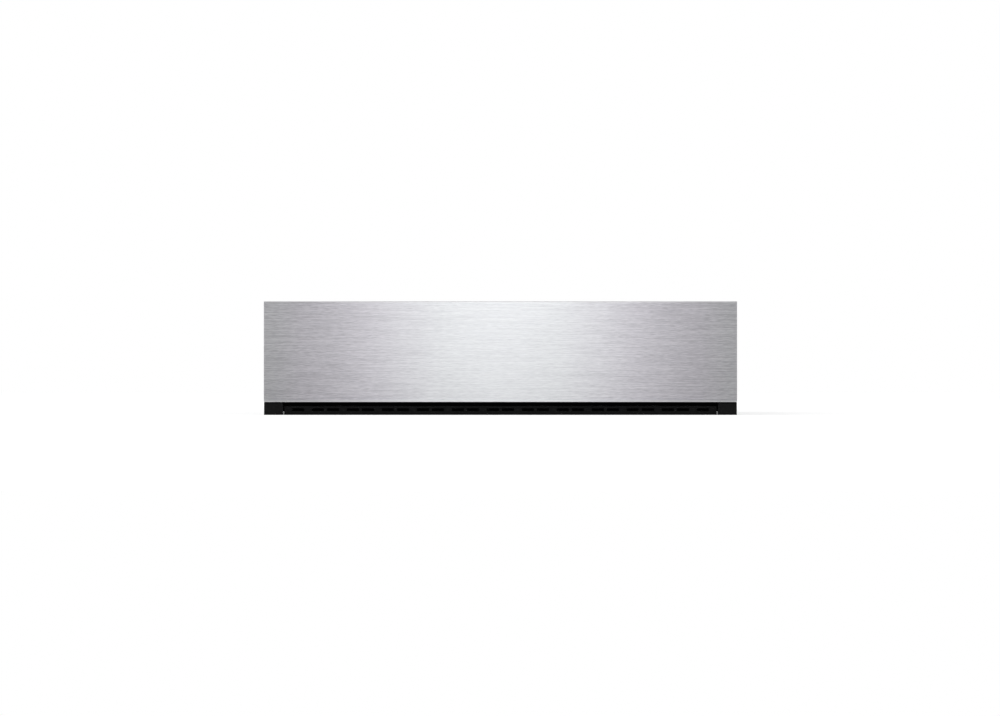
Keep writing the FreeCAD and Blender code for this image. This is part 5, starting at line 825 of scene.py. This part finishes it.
def moved(made, place):
    """Points and faces, moved by a matrix."""
    return [place @ point for point in made[0]], made[1]


def facing(place, way):
    """A matrix that puts the origin at place and Z along way."""
    turn = Vector(way).to_track_quat("Z", "Y").to_matrix().to_4x4()
    return Matrix.Translation(place) @ turn


def tube(line, radius, sides=12):
    """A round wire along a line of points, closed at both ends."""
    points, faces = [], []
    ways = [(after - before).normalized() for before, after in zip(line, line[1:])]
    ways = [ways[0]] + [(a + b).normalized() for a, b in zip(ways, ways[1:])] + [ways[-1]]
    side = ways[0].orthogonal().normalized()
    for centre, way in zip(line, ways):
        side = (side - way * side.dot(way)).normalized()
        up = way.cross(side)
        for step in range(sides):
            angle = 2 * math.pi * step / sides
            points.append(centre + radius * (side * math.cos(angle) + up * math.sin(angle)))
    for ring in range(len(line) - 1):
        for step in range(sides):
            after = (step + 1) % sides
            low, high = ring * sides, (ring + 1) * sides
            faces.append([low + step, low + after, high + after, high + step])
    faces.append(list(range(sides))[::-1])
    faces.append(list(range(len(points) - sides, len(points))))
    return points, faces


def piece(name, made, slot, body=None, sharp=35, surface=None):
    """A piece of the object: its shape, its material and the body that it rides on."""
    done = shape(name, *made, surface or material(slot))
    smooth(done, sharp)
    if body:
        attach(done, body)
    return done


def smooth(made, sharp):
    """Smooth shading, with edges over that angle kept sharp."""
    made.data.shade_smooth()
    made.data.set_sharp_from_angle(angle=math.radians(sharp))


# Screws


SCREW_HEAD = 3.5 * MM
SCREW_DOME = 1.6 * MM
SCREW_SHANK = 1.75 * MM
SCREW_THREAD = 0.8 * MM
SCREW_STAR = 1.45 * MM
STAR_LOBES = 6


def screw(length):
    """A pan-head screw with a six-lobed recess; its head stands on the plane of its place."""

    def star(angle):
        return SCREW_STAR * (1 + 0.16 * math.cos(STAR_LOBES * angle))

    root = 0.82 * SCREW_SHANK
    profile = [(0, -length), (0.4 * SCREW_SHANK, -length), (root, -length + SCREW_THREAD)]
    turns = int(length / SCREW_THREAD) - 2
    for turn in range(turns):
        height = -length + (turn + 1.5) * SCREW_THREAD
        profile += [(SCREW_SHANK, height), (root, height + SCREW_THREAD / 2)]
    profile += [(root, 0), (SCREW_HEAD - 0.15 * MM, 0), (SCREW_HEAD, 0.15 * MM),
                (SCREW_HEAD, 0.45 * SCREW_DOME), (0.9 * SCREW_HEAD, 0.75 * SCREW_DOME),
                (0.72 * SCREW_HEAD, 0.95 * SCREW_DOME), (0.55 * SCREW_HEAD, SCREW_DOME),
                (star, SCREW_DOME), (star, 0.4 * SCREW_DOME), (0, 0.3 * SCREW_DOME)]
    return turned(profile)


def screws(name, places, way, length, body):
    """Screws of one length at several places, with their heads that way."""
    made = [moved(screw(length), facing(place, way)) for place in places]
    return piece(name, joined(*made), "screw_steel", body, 40)


DECK_SCREW_X = 258.3 * MM
DECK_SCREWS_Y = -239.0 * MM, -86.3 * MM, 66.3 * MM, 219.0 * MM
DECK_SCREW_LENGTH = 7 * MM
PANEL_SCREWS_X = -238.4 * MM, 0.0, 238.4 * MM
PANEL_SCREWS_Z = 27.5 * MM, 93.8 * MM
PANEL_SCREW_Y = -254.0 * MM
PANEL_SCREW_LENGTH = 13 * MM


def drawer_screws():
    """Eight screws down through the deck and six forward into the panel."""
    down = [(side * DECK_SCREW_X, y, deck_top)
            for side in (-1, 1) for y in DECK_SCREWS_Y]
    forward = [(x, PANEL_SCREW_Y, z) for x in PANEL_SCREWS_X for z in PANEL_SCREWS_Z]
    made = [moved(screw(DECK_SCREW_LENGTH), facing(place, (0, 0, 1))) for place in down]
    made += [moved(screw(PANEL_SCREW_LENGTH), facing(place, (0, 1, 0))) for place in forward]
    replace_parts(piece("drawer_screw_set", joined(*made), "screw_steel", "drawer", 40),
                "drawer_screws")


CHAMBER_X = -48 * MM
HINGE_SPREAD = 118 * MM
BRACKET_HOLE_SPREAD = 9 * MM
BRACKET_HOLE_Y = 137.5 * MM
BRACKET_TOP = 114 * MM
BRACKET_SCREW_LENGTH = 4 * MM


def bracket_screws():
    """Two screws through the foot of each hinge bracket."""
    places = [(CHAMBER_X + side * HINGE_SPREAD + way * BRACKET_HOLE_SPREAD, BRACKET_HOLE_Y,
               BRACKET_TOP) for side in (-1, 1) for way in (-1, 1)]
    screws("bracket_screws", places, (0, 0, 1), BRACKET_SCREW_LENGTH, "drawer")


CASING_SCREW_X = 271.5 * MM
CASING_SCREWS_Y = -244.5 * MM, 165 * MM, 212 * MM, 259 * MM
CASING_TOP = 137 * MM
CASING_SCREW_LENGTH = 4 * MM


def casing_screws():
    """Screws through the side flanges into the tie rail and the rear cover."""
    places = [(side * CASING_SCREW_X, y, CASING_TOP)
              for side in (-1, 1) for y in CASING_SCREWS_Y]
    screws("casing_screws", places, (0, 0, 1), CASING_SCREW_LENGTH, "casing")


# Under the panel: near-black felt in the gap and a near-black mesh behind the air slots, both
# painted shade


FELT_HALF = 273.2 * MM
FELT_FRONT, FELT_BACK = -261.5 * MM, -255.1 * MM
FELT_LOW, FELT_HIGH = 11.7 * MM, 16.4 * MM
MESH_HALF = 273.8 * MM
MESH_FRONT, MESH_BACK = -260.7 * MM, -260.4 * MM
MESH_LOW, MESH_HIGH = 4.4 * MM, 11.3 * MM


def painted_shade_felt():
    """Black felt that takes nearly all light, used as painted shade."""
    look = Look("painted_shade_felt", (0.002, 0.002, 0.002), 1.0)
    hairs = look.grain((0.5 * MM, 0.3 * MM, 0.3 * MM), 4.0)
    look.tint(hairs, (0.0008, 0.0008, 0.0008), (0.003, 0.003, 0.003))
    look.set("Specular IOR Level", 0.0)
    look.relief(hairs, 0.3 * MM)
    return look.material


def shade_felt_strip():
    """A felt strip behind the panel's lower edge, just over the vent strip: painted shade in the
    gap there.
    """
    made = block((-FELT_HALF, FELT_FRONT, FELT_LOW), (FELT_HALF, FELT_BACK, FELT_HIGH), 0.3 * MM)
    piece("shade_felt_strip", made, "black_trim", "drawer", surface=painted_shade_felt())


def vent_shade_mesh():
    """Fine black mesh behind the air slots, near-black as painted shade in them."""
    made = block((-MESH_HALF, MESH_FRONT, MESH_LOW), (MESH_HALF, MESH_BACK, MESH_HIGH),
                 0.05 * MM)
    piece("vent_shade_mesh", made, "black_trim", "casing", surface=painted_shade_felt())


END_GAP_INNER, END_GAP_OUTER = 272.45 * MM, 273.95 * MM
END_GAP_FRONT, END_GAP_BACK = -261.2 * MM, -256.0 * MM
END_GAP_LOW, END_GAP_HIGH = 0.3 * MM, 4.3 * MM


def painted_shade_foam():
    """Grey foam with open pores, darker in their middles; its grey is painted shade."""
    look = Look("painted_shade_foam", (0.5, 0.5, 0.5), 0.95)
    pores = look.cells(0.5 * MM)
    look.tint(pores["Distance"], (0.3, 0.3, 0.3), (0.58, 0.58, 0.58), 0.0, 0.6)
    look.set("Specular IOR Level", 0.2)
    look.relief(pores["Distance"], 0.15 * MM)
    return look.material


def end_gap_shade():
    """A bit of foam in the gap between each end of the vent strip and its side trim, as painted
    shade.
    """
    made = []
    for side in (-1, 1):
        ends = sorted((side * END_GAP_INNER, side * END_GAP_OUTER))
        made.append(block((ends[0], END_GAP_FRONT, END_GAP_LOW), (ends[1], END_GAP_BACK, END_GAP_HIGH),
                          0.2 * MM))
    piece("end_gap_shade", joined(*made), "black_trim", "casing", surface=painted_shade_foam())


# Hinge springs


SPRING_WIRE = 0.8 * MM
SPRING_RADIUS = 6.9 * MM
SPRING_PITCH = 2.4 * MM
SPRING_QUARTERS = 21
SPRING_INNER = 93.5 * MM
SPRING_TIP_Y = 97.5 * MM
SPRING_LEG_STEPS = 6
HINGE_Y, HINGE_Z = 119.5 * MM, 121.4 * MM
STEPS_PER_QUARTER = 8


def hinge_spring(side):
    """A coil round the hinge shaft, with one leg on the deck and one over the glass."""
    first = CHAMBER_X + side * SPRING_INNER
    steps = SPRING_QUARTERS * STEPS_PER_QUARTER
    length = SPRING_PITCH * SPRING_QUARTERS / 4
    line = []
    for step in range(steps + 1):
        share = step / steps
        turn = share * SPRING_QUARTERS * math.pi / 2
        line.append(Vector((first - side * length * share,
                            HINGE_Y + SPRING_RADIUS * math.cos(turn),
                            HINGE_Z + SPRING_RADIUS * math.sin(turn))))
    foot = Vector((first, line[0].y, deck_top + 0.2 * MM))
    tip = Vector((line[-1].x, SPRING_TIP_Y, line[-1].z))
    down = [foot.lerp(line[0], step / SPRING_LEG_STEPS) for step in range(SPRING_LEG_STEPS)]
    out = [line[-1].lerp(tip, (step + 1) / SPRING_LEG_STEPS) for step in range(SPRING_LEG_STEPS)]
    made = piece("hinge_spring_" + ("right" if side > 0 else "left"),
                 tube(down + line + out, SPRING_WIRE), "spring_steel")
    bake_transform(made)
    return made


def hinge_springs():
    """The two springs, one on each side."""
    springs = [hinge_spring(side) for side in (-1, 1)]
    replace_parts(springs[0], "hinge_springs")


# Cover of the sealing bar


TAPE_THICKNESS = 0.12 * MM
TAPE_GAP = 0.05 * MM
TAPE_DROP = 7 * MM
TAPE_END = 1.5 * MM
BAR_ROUND = 1.2 * MM


def bar_tape():
    """Non-stick woven tape over the bar and its heating band."""
    middle = (bar_low.y + bar_high.y) / 2

    def over(gap):
        half = (bar_high.y - bar_low.y) / 2 + gap
        top, raised = bar_high.z + gap, band_high.z + gap
        ramp = (band_high.y - band_low.y) / 2
        curve = [(half - BAR_ROUND * (1 - math.cos(angle)), top - BAR_ROUND * (1 - math.sin(angle)))
                 for angle in (0, 0.4, 0.8, 1.2, math.pi / 2)]
        side = [(half, top - TAPE_DROP), *curve, (ramp + 1.2 * MM, top), (ramp, raised)]
        whole = side + [(-across, up) for across, up in reversed(side)]
        return [(middle + across, up) for across, up in whole]

    outline = over(TAPE_GAP + TAPE_THICKNESS) + over(TAPE_GAP)[::-1]
    made = drawn_out(outline, bar_low.x + TAPE_END, bar_high.x - TAPE_END)
    piece("bar_tape", made, "heater", "seal_bar", 50)


# Rubber feet and the port's cap


FOOT_PLACES = [(x * MM, y * MM) for x in (-239, 239) for y in (-214.5, 241)]
FOOT_RADIUS = 12 * MM
FOOT_HEIGHT = 4.5 * MM
FOOT_WELL = 4.6 * MM
FOOT_WELL_TOP = 2 * MM
FOOT_SCREW_LENGTH = 2.4 * MM


def feet():
    """Turned rubber feet with a well for their screws."""
    profile = [(0, FOOT_WELL_TOP), (FOOT_WELL, FOOT_WELL_TOP), (FOOT_WELL, 0.3 * MM),
               (FOOT_WELL + 0.3 * MM, 0), (FOOT_RADIUS - 1.2 * MM, 0),
               (FOOT_RADIUS - 0.5 * MM, 0.25 * MM), (FOOT_RADIUS - 0.1 * MM, 1.0 * MM),
               (FOOT_RADIUS, FOOT_HEIGHT - 0.4 * MM), (FOOT_RADIUS - 0.3 * MM, FOOT_HEIGHT),
               (0, FOOT_HEIGHT)]
    made = [moved(turned(profile), Matrix.Translation((x, y, 0))) for x, y in FOOT_PLACES]
    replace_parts(piece("rubber_feet", joined(*made), "foot_rubber", "casing"), "feet")
    heads = [(x, y, FOOT_WELL_TOP) for x, y in FOOT_PLACES]
    screws("foot_screws", heads, (0, 0, -1), FOOT_SCREW_LENGTH, "casing")


CAP_LOW = 113.3 * MM
CAP_HEIGHT = 4.0 * MM
CAP_RADIUS = 14.5 * MM
CAP_PLUG = 3.6 * MM
CAP_PLUG_LENGTH = 6 * MM
CAP_RIBS = 40
CAP_DISH = 10.5 * MM
PORT_X, PORT_Y = 205.3 * MM, 8 * MM


def port_cap():
    """A cap with a ribbed edge, a dish with a grip across it, and a plug under it."""

    def ribbed(angle):
        return CAP_RADIUS - 0.22 * MM * (1 + math.cos(CAP_RIBS * angle)) / 2

    top = CAP_LOW + CAP_HEIGHT
    profile = [(0, CAP_LOW - CAP_PLUG_LENGTH), (CAP_PLUG - 0.5 * MM, CAP_LOW - CAP_PLUG_LENGTH),
               (CAP_PLUG, CAP_LOW - CAP_PLUG_LENGTH + 0.6 * MM), (CAP_PLUG, CAP_LOW),
               (CAP_RADIUS - 0.7 * MM, CAP_LOW), (CAP_RADIUS - 0.2 * MM, CAP_LOW + 0.3 * MM),
               (ribbed, CAP_LOW + 0.7 * MM), (ribbed, top - 1.3 * MM),
               (CAP_RADIUS - 0.6 * MM, top - 0.5 * MM), (CAP_RADIUS - 1.4 * MM, top),
               (CAP_DISH + 0.5 * MM, top), (CAP_DISH, top - 0.4 * MM),
               (CAP_DISH - 0.6 * MM, top - 1.6 * MM), (0, top - 1.8 * MM)]
    place = Matrix.Translation((PORT_X, PORT_Y, 0))
    grip = block((PORT_X - CAP_DISH + 0.4 * MM, PORT_Y - 1.6 * MM, top - 2.0 * MM),
                 (PORT_X + CAP_DISH - 0.4 * MM, PORT_Y + 1.6 * MM, top - 0.1 * MM), 0.5 * MM)
    made = joined(moved(turned(profile, 160), place), grip)
    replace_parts(piece("outside_port_cap", made, "dark_plastic", "port_cap"), "port_cap")


# Grip on the lid's handle


GRIP_END = 9 * MM
GRIP_FRONT, GRIP_BACK = -233.5 * MM, -223.5 * MM
GRIP_BASE = 0.4 * MM
GRIP_RIB = 0.5 * MM
GRIP_RIBS = 7


def handle_grip():
    """A ribbed rubber strip let into the handle's top, for the fingers."""
    pitch = (GRIP_BACK - GRIP_FRONT) / GRIP_RIBS
    floor_z, top = handle_high.z + GRIP_BASE, handle_high.z + GRIP_BASE + GRIP_RIB
    outline = [(GRIP_BACK, handle_high.z - 0.1 * MM), (GRIP_FRONT, handle_high.z - 0.1 * MM)]
    for rib in range(GRIP_RIBS):
        y = GRIP_FRONT + rib * pitch
        outline += [(y, floor_z), (y + 0.3 * pitch, top), (y + 0.7 * pitch, top)]
    outline.append((GRIP_BACK, floor_z))
    made = drawn_out(outline, handle_low.x + GRIP_END, handle_high.x - GRIP_END)
    piece("handle_grip", made, "foot_rubber", "lid", 20)


# Vacuum hoses


HOSE_RADIUS = 5 * MM
HOSE_WALL = 1.7 * MM
HOSE_ROUTES = {
    "chamber_hose": ((52, 90.5, 56), (52, 98, 56), (52, 105.5, 56)),
    "pump_hose": ((94, 124.5, 62), (146, 124.5, 62), (146, 183, 62), (7.7, 183, 62)),
    "port_hose": ((205.3, 8, 101), (205.3, 8, 75.5), (205.3, 33.5, 50), (205.3, 112.5, 50),
                  (94, 112.5, 50)),
}
CLAMP_WIDTH = 5 * MM
CLAMP_BAND = 0.6 * MM
CLAMP_END = 4.5 * MM
LINE_STEPS = 12


def smooth_line(route):
    """Points along the smooth curve of a route in millimetres."""
    curve = bpy.data.curves.new("route", "CURVE")
    curve.dimensions = "3D"
    curve.resolution_u = LINE_STEPS
    spline = curve.splines.new("NURBS")
    spline.points.add(len(route) - 1)
    for point, place in zip(spline.points, route):
        point.co = (*[MM * at for at in place], 1)
    spline.order_u = 3
    spline.use_endpoint_u = True
    holder = bpy.data.objects.new("route", curve)
    mesh = bpy.data.meshes.new_from_object(holder)
    line = [point.co.copy() for point in mesh.vertices]
    bpy.data.objects.remove(holder)
    bpy.data.meshes.remove(mesh)
    return line


def clamp(place, way):
    """A spring band round a hose, with two ears to squeeze it."""
    inner = HOSE_RADIUS + 0.05 * MM
    outer = inner + CLAMP_BAND
    half = CLAMP_WIDTH / 2
    band = turned([(inner, -half), (outer, -half), (outer, half), (inner, half), (inner, -half)])
    ears = [block((side * 1.1 * MM - 0.3 * MM, outer - 0.3 * MM, -1.6 * MM),
                  (side * 1.1 * MM + 0.3 * MM, outer + 3 * MM, 1.6 * MM), 0.1 * MM)
            for side in (-1, 1)]
    return moved(joined(band, *ears), facing(place, way))


def hoses():
    """Hollow silicone hoses, each with a clamp at both ends."""
    clamps, first = [], None
    for name, route in HOSE_ROUTES.items():
        line = smooth_line(route)
        points, faces = tube(line, HOSE_RADIUS, 24)
        open_faces = faces[:-2]
        made = piece(name, (points, open_faces), "white_silicone", "drawer")
        wall = made.modifiers.new("wall", "SOLIDIFY")
        wall.thickness = HOSE_WALL
        wall.offset = -1
        first = first or made
        for end, inward in ((line[0], line[1]), (line[-1], line[-2])):
            way = (inward - end).normalized()
            clamps.append(clamp(end + way * CLAMP_END, way))
    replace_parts(first, "vacuum_hoses")
    piece("hose_clamps", joined(*clamps), "spring_steel", "drawer")


# Printed marks of the touch control


MARK_TOP = 111.6 * MM
MARK_THICKNESS = 0.02 * MM
MARK_LINE = 0.55 * MM
RING_STEPS = 40
CONTROL_X = 205.3 * MM
POWER_Y = -204 * MM
POWER_RADIUS = 5.5 * MM
LEVELS = 3
LEVEL_Y = -166 * MM
LEVEL_PITCH = 16 * MM
LEVEL_COLUMN = 20 * MM
LEVEL_RADIUS = 5.8 * MM
NUMBER_SIZE = 7 * MM
VACUUM_SIGN_Y = -112 * MM
SEAL_SIGN_X, SEAL_SIGN_Y = 15.5 * MM, -108.8 * MM
START_Y = -70 * MM
START_RADIUS = 8 * MM


def printed():
    """Pale grey print."""
    look = Look("print", (0.55, 0.56, 0.57), 0.5)
    fine = look.grain(0.2 * MM, 2.0)
    look.tint(fine, (0.5, 0.51, 0.52), (0.62, 0.63, 0.64))
    return look.material


def ring_mark(x, y, radius, start=0.0, end=2 * math.pi):
    """A flat ring, or a part of one between two angles."""
    points, faces = [], []
    for step in range(RING_STEPS + 1):
        angle = start + (end - start) * step / RING_STEPS
        for reach in (radius - MARK_LINE / 2, radius + MARK_LINE / 2):
            for height in (MARK_TOP, MARK_TOP + MARK_THICKNESS):
                points.append(Vector((x + reach * math.cos(angle),
                                      y + reach * math.sin(angle), height)))
    for step in range(RING_STEPS):
        a, b = 4 * step, 4 * (step + 1)
        for low, high in ((0, 2), (2, 3), (3, 1), (1, 0)):
            faces.append([a + low, b + low, b + high, a + high])
    last = 4 * RING_STEPS
    faces += [[0, 2, 3, 1], [last, last + 1, last + 3, last + 2]]
    return points, faces


def flat_mark(outline):
    """A flat printed shape with that outline."""
    count = len(outline)
    points = [Vector((x, y, MARK_TOP + height))
              for height in (0, MARK_THICKNESS) for x, y in outline]
    faces = [list(range(count))[::-1], list(range(count, 2 * count))]
    faces += [[index, (index + 1) % count, count + (index + 1) % count, count + index]
              for index in range(count)]
    return points, faces


def bar_mark(x, y, width, height):
    """A printed bar with its middle at x and y."""
    half, tall = width / 2, height / 2
    return flat_mark([(x - half, y - tall), (x + half, y - tall),
                      (x + half, y + tall), (x - half, y + tall)])


def number_mark(text, x, y, size):
    """A printed number with its middle at x and y."""
    curve = bpy.data.curves.new("number", "FONT")
    curve.body = text
    curve.size = size
    curve.align_x, curve.align_y = "CENTER", "CENTER"
    curve.extrude = MARK_THICKNESS / 2
    holder = bpy.data.objects.new("number", curve)
    mesh = bpy.data.meshes.new_from_object(holder)
    shift = Vector((x, y, MARK_TOP + MARK_THICKNESS / 2))
    points = [point.co + shift for point in mesh.vertices]
    faces = [list(face.vertices) for face in mesh.polygons]
    bpy.data.objects.remove(holder)
    bpy.data.meshes.remove(mesh)
    return points, faces


def control_marks():
    """On the glass: a power mark, three vacuum and three sealing levels, and a start mark."""
    marks = [ring_mark(CONTROL_X, POWER_Y, POWER_RADIUS, math.radians(120), math.radians(420)),
             bar_mark(CONTROL_X, POWER_Y + 4.4 * MM, MARK_LINE, 5 * MM)]
    for column in (-LEVEL_COLUMN, LEVEL_COLUMN):
        for level in range(LEVELS):
            place = CONTROL_X + column, LEVEL_Y + level * LEVEL_PITCH
            marks.append(number_mark(str(level + 1), *place, NUMBER_SIZE))
            marks.append(ring_mark(*place, LEVEL_RADIUS))
    for level in range(LEVELS):
        marks.append(bar_mark(CONTROL_X - LEVEL_COLUMN, VACUUM_SIGN_Y + 3.2 * MM * level,
                              (7 + 4 * level) * MM, 1.4 * MM))
        marks.append(bar_mark(CONTROL_X + SEAL_SIGN_X + 4.5 * MM * level, SEAL_SIGN_Y,
                              1.6 * MM, (4 + 2.4 * level) * MM))
    arrow = [(-2.6 * MM, -4 * MM), (4.4 * MM, 0), (-2.6 * MM, 4 * MM)]
    marks.append(ring_mark(CONTROL_X, START_Y, START_RADIUS))
    marks.append(flat_mark([(CONTROL_X + x, START_Y + y) for x, y in arrow]))
    piece("control_marks", joined(*marks), "touch_glass", "drawer", surface=printed())


bpy.context.scene.view_settings.view_transform = "Standard"
camera()
lamps()
world()
floor()
dress_nodes()
drawer_screws()
bracket_screws()
casing_screws()
shade_felt_strip()
vent_shade_mesh()
end_gap_shade()
hinge_springs()
bar_tape()
feet()
port_cap()
handle_grip()
hoses()
control_marks()
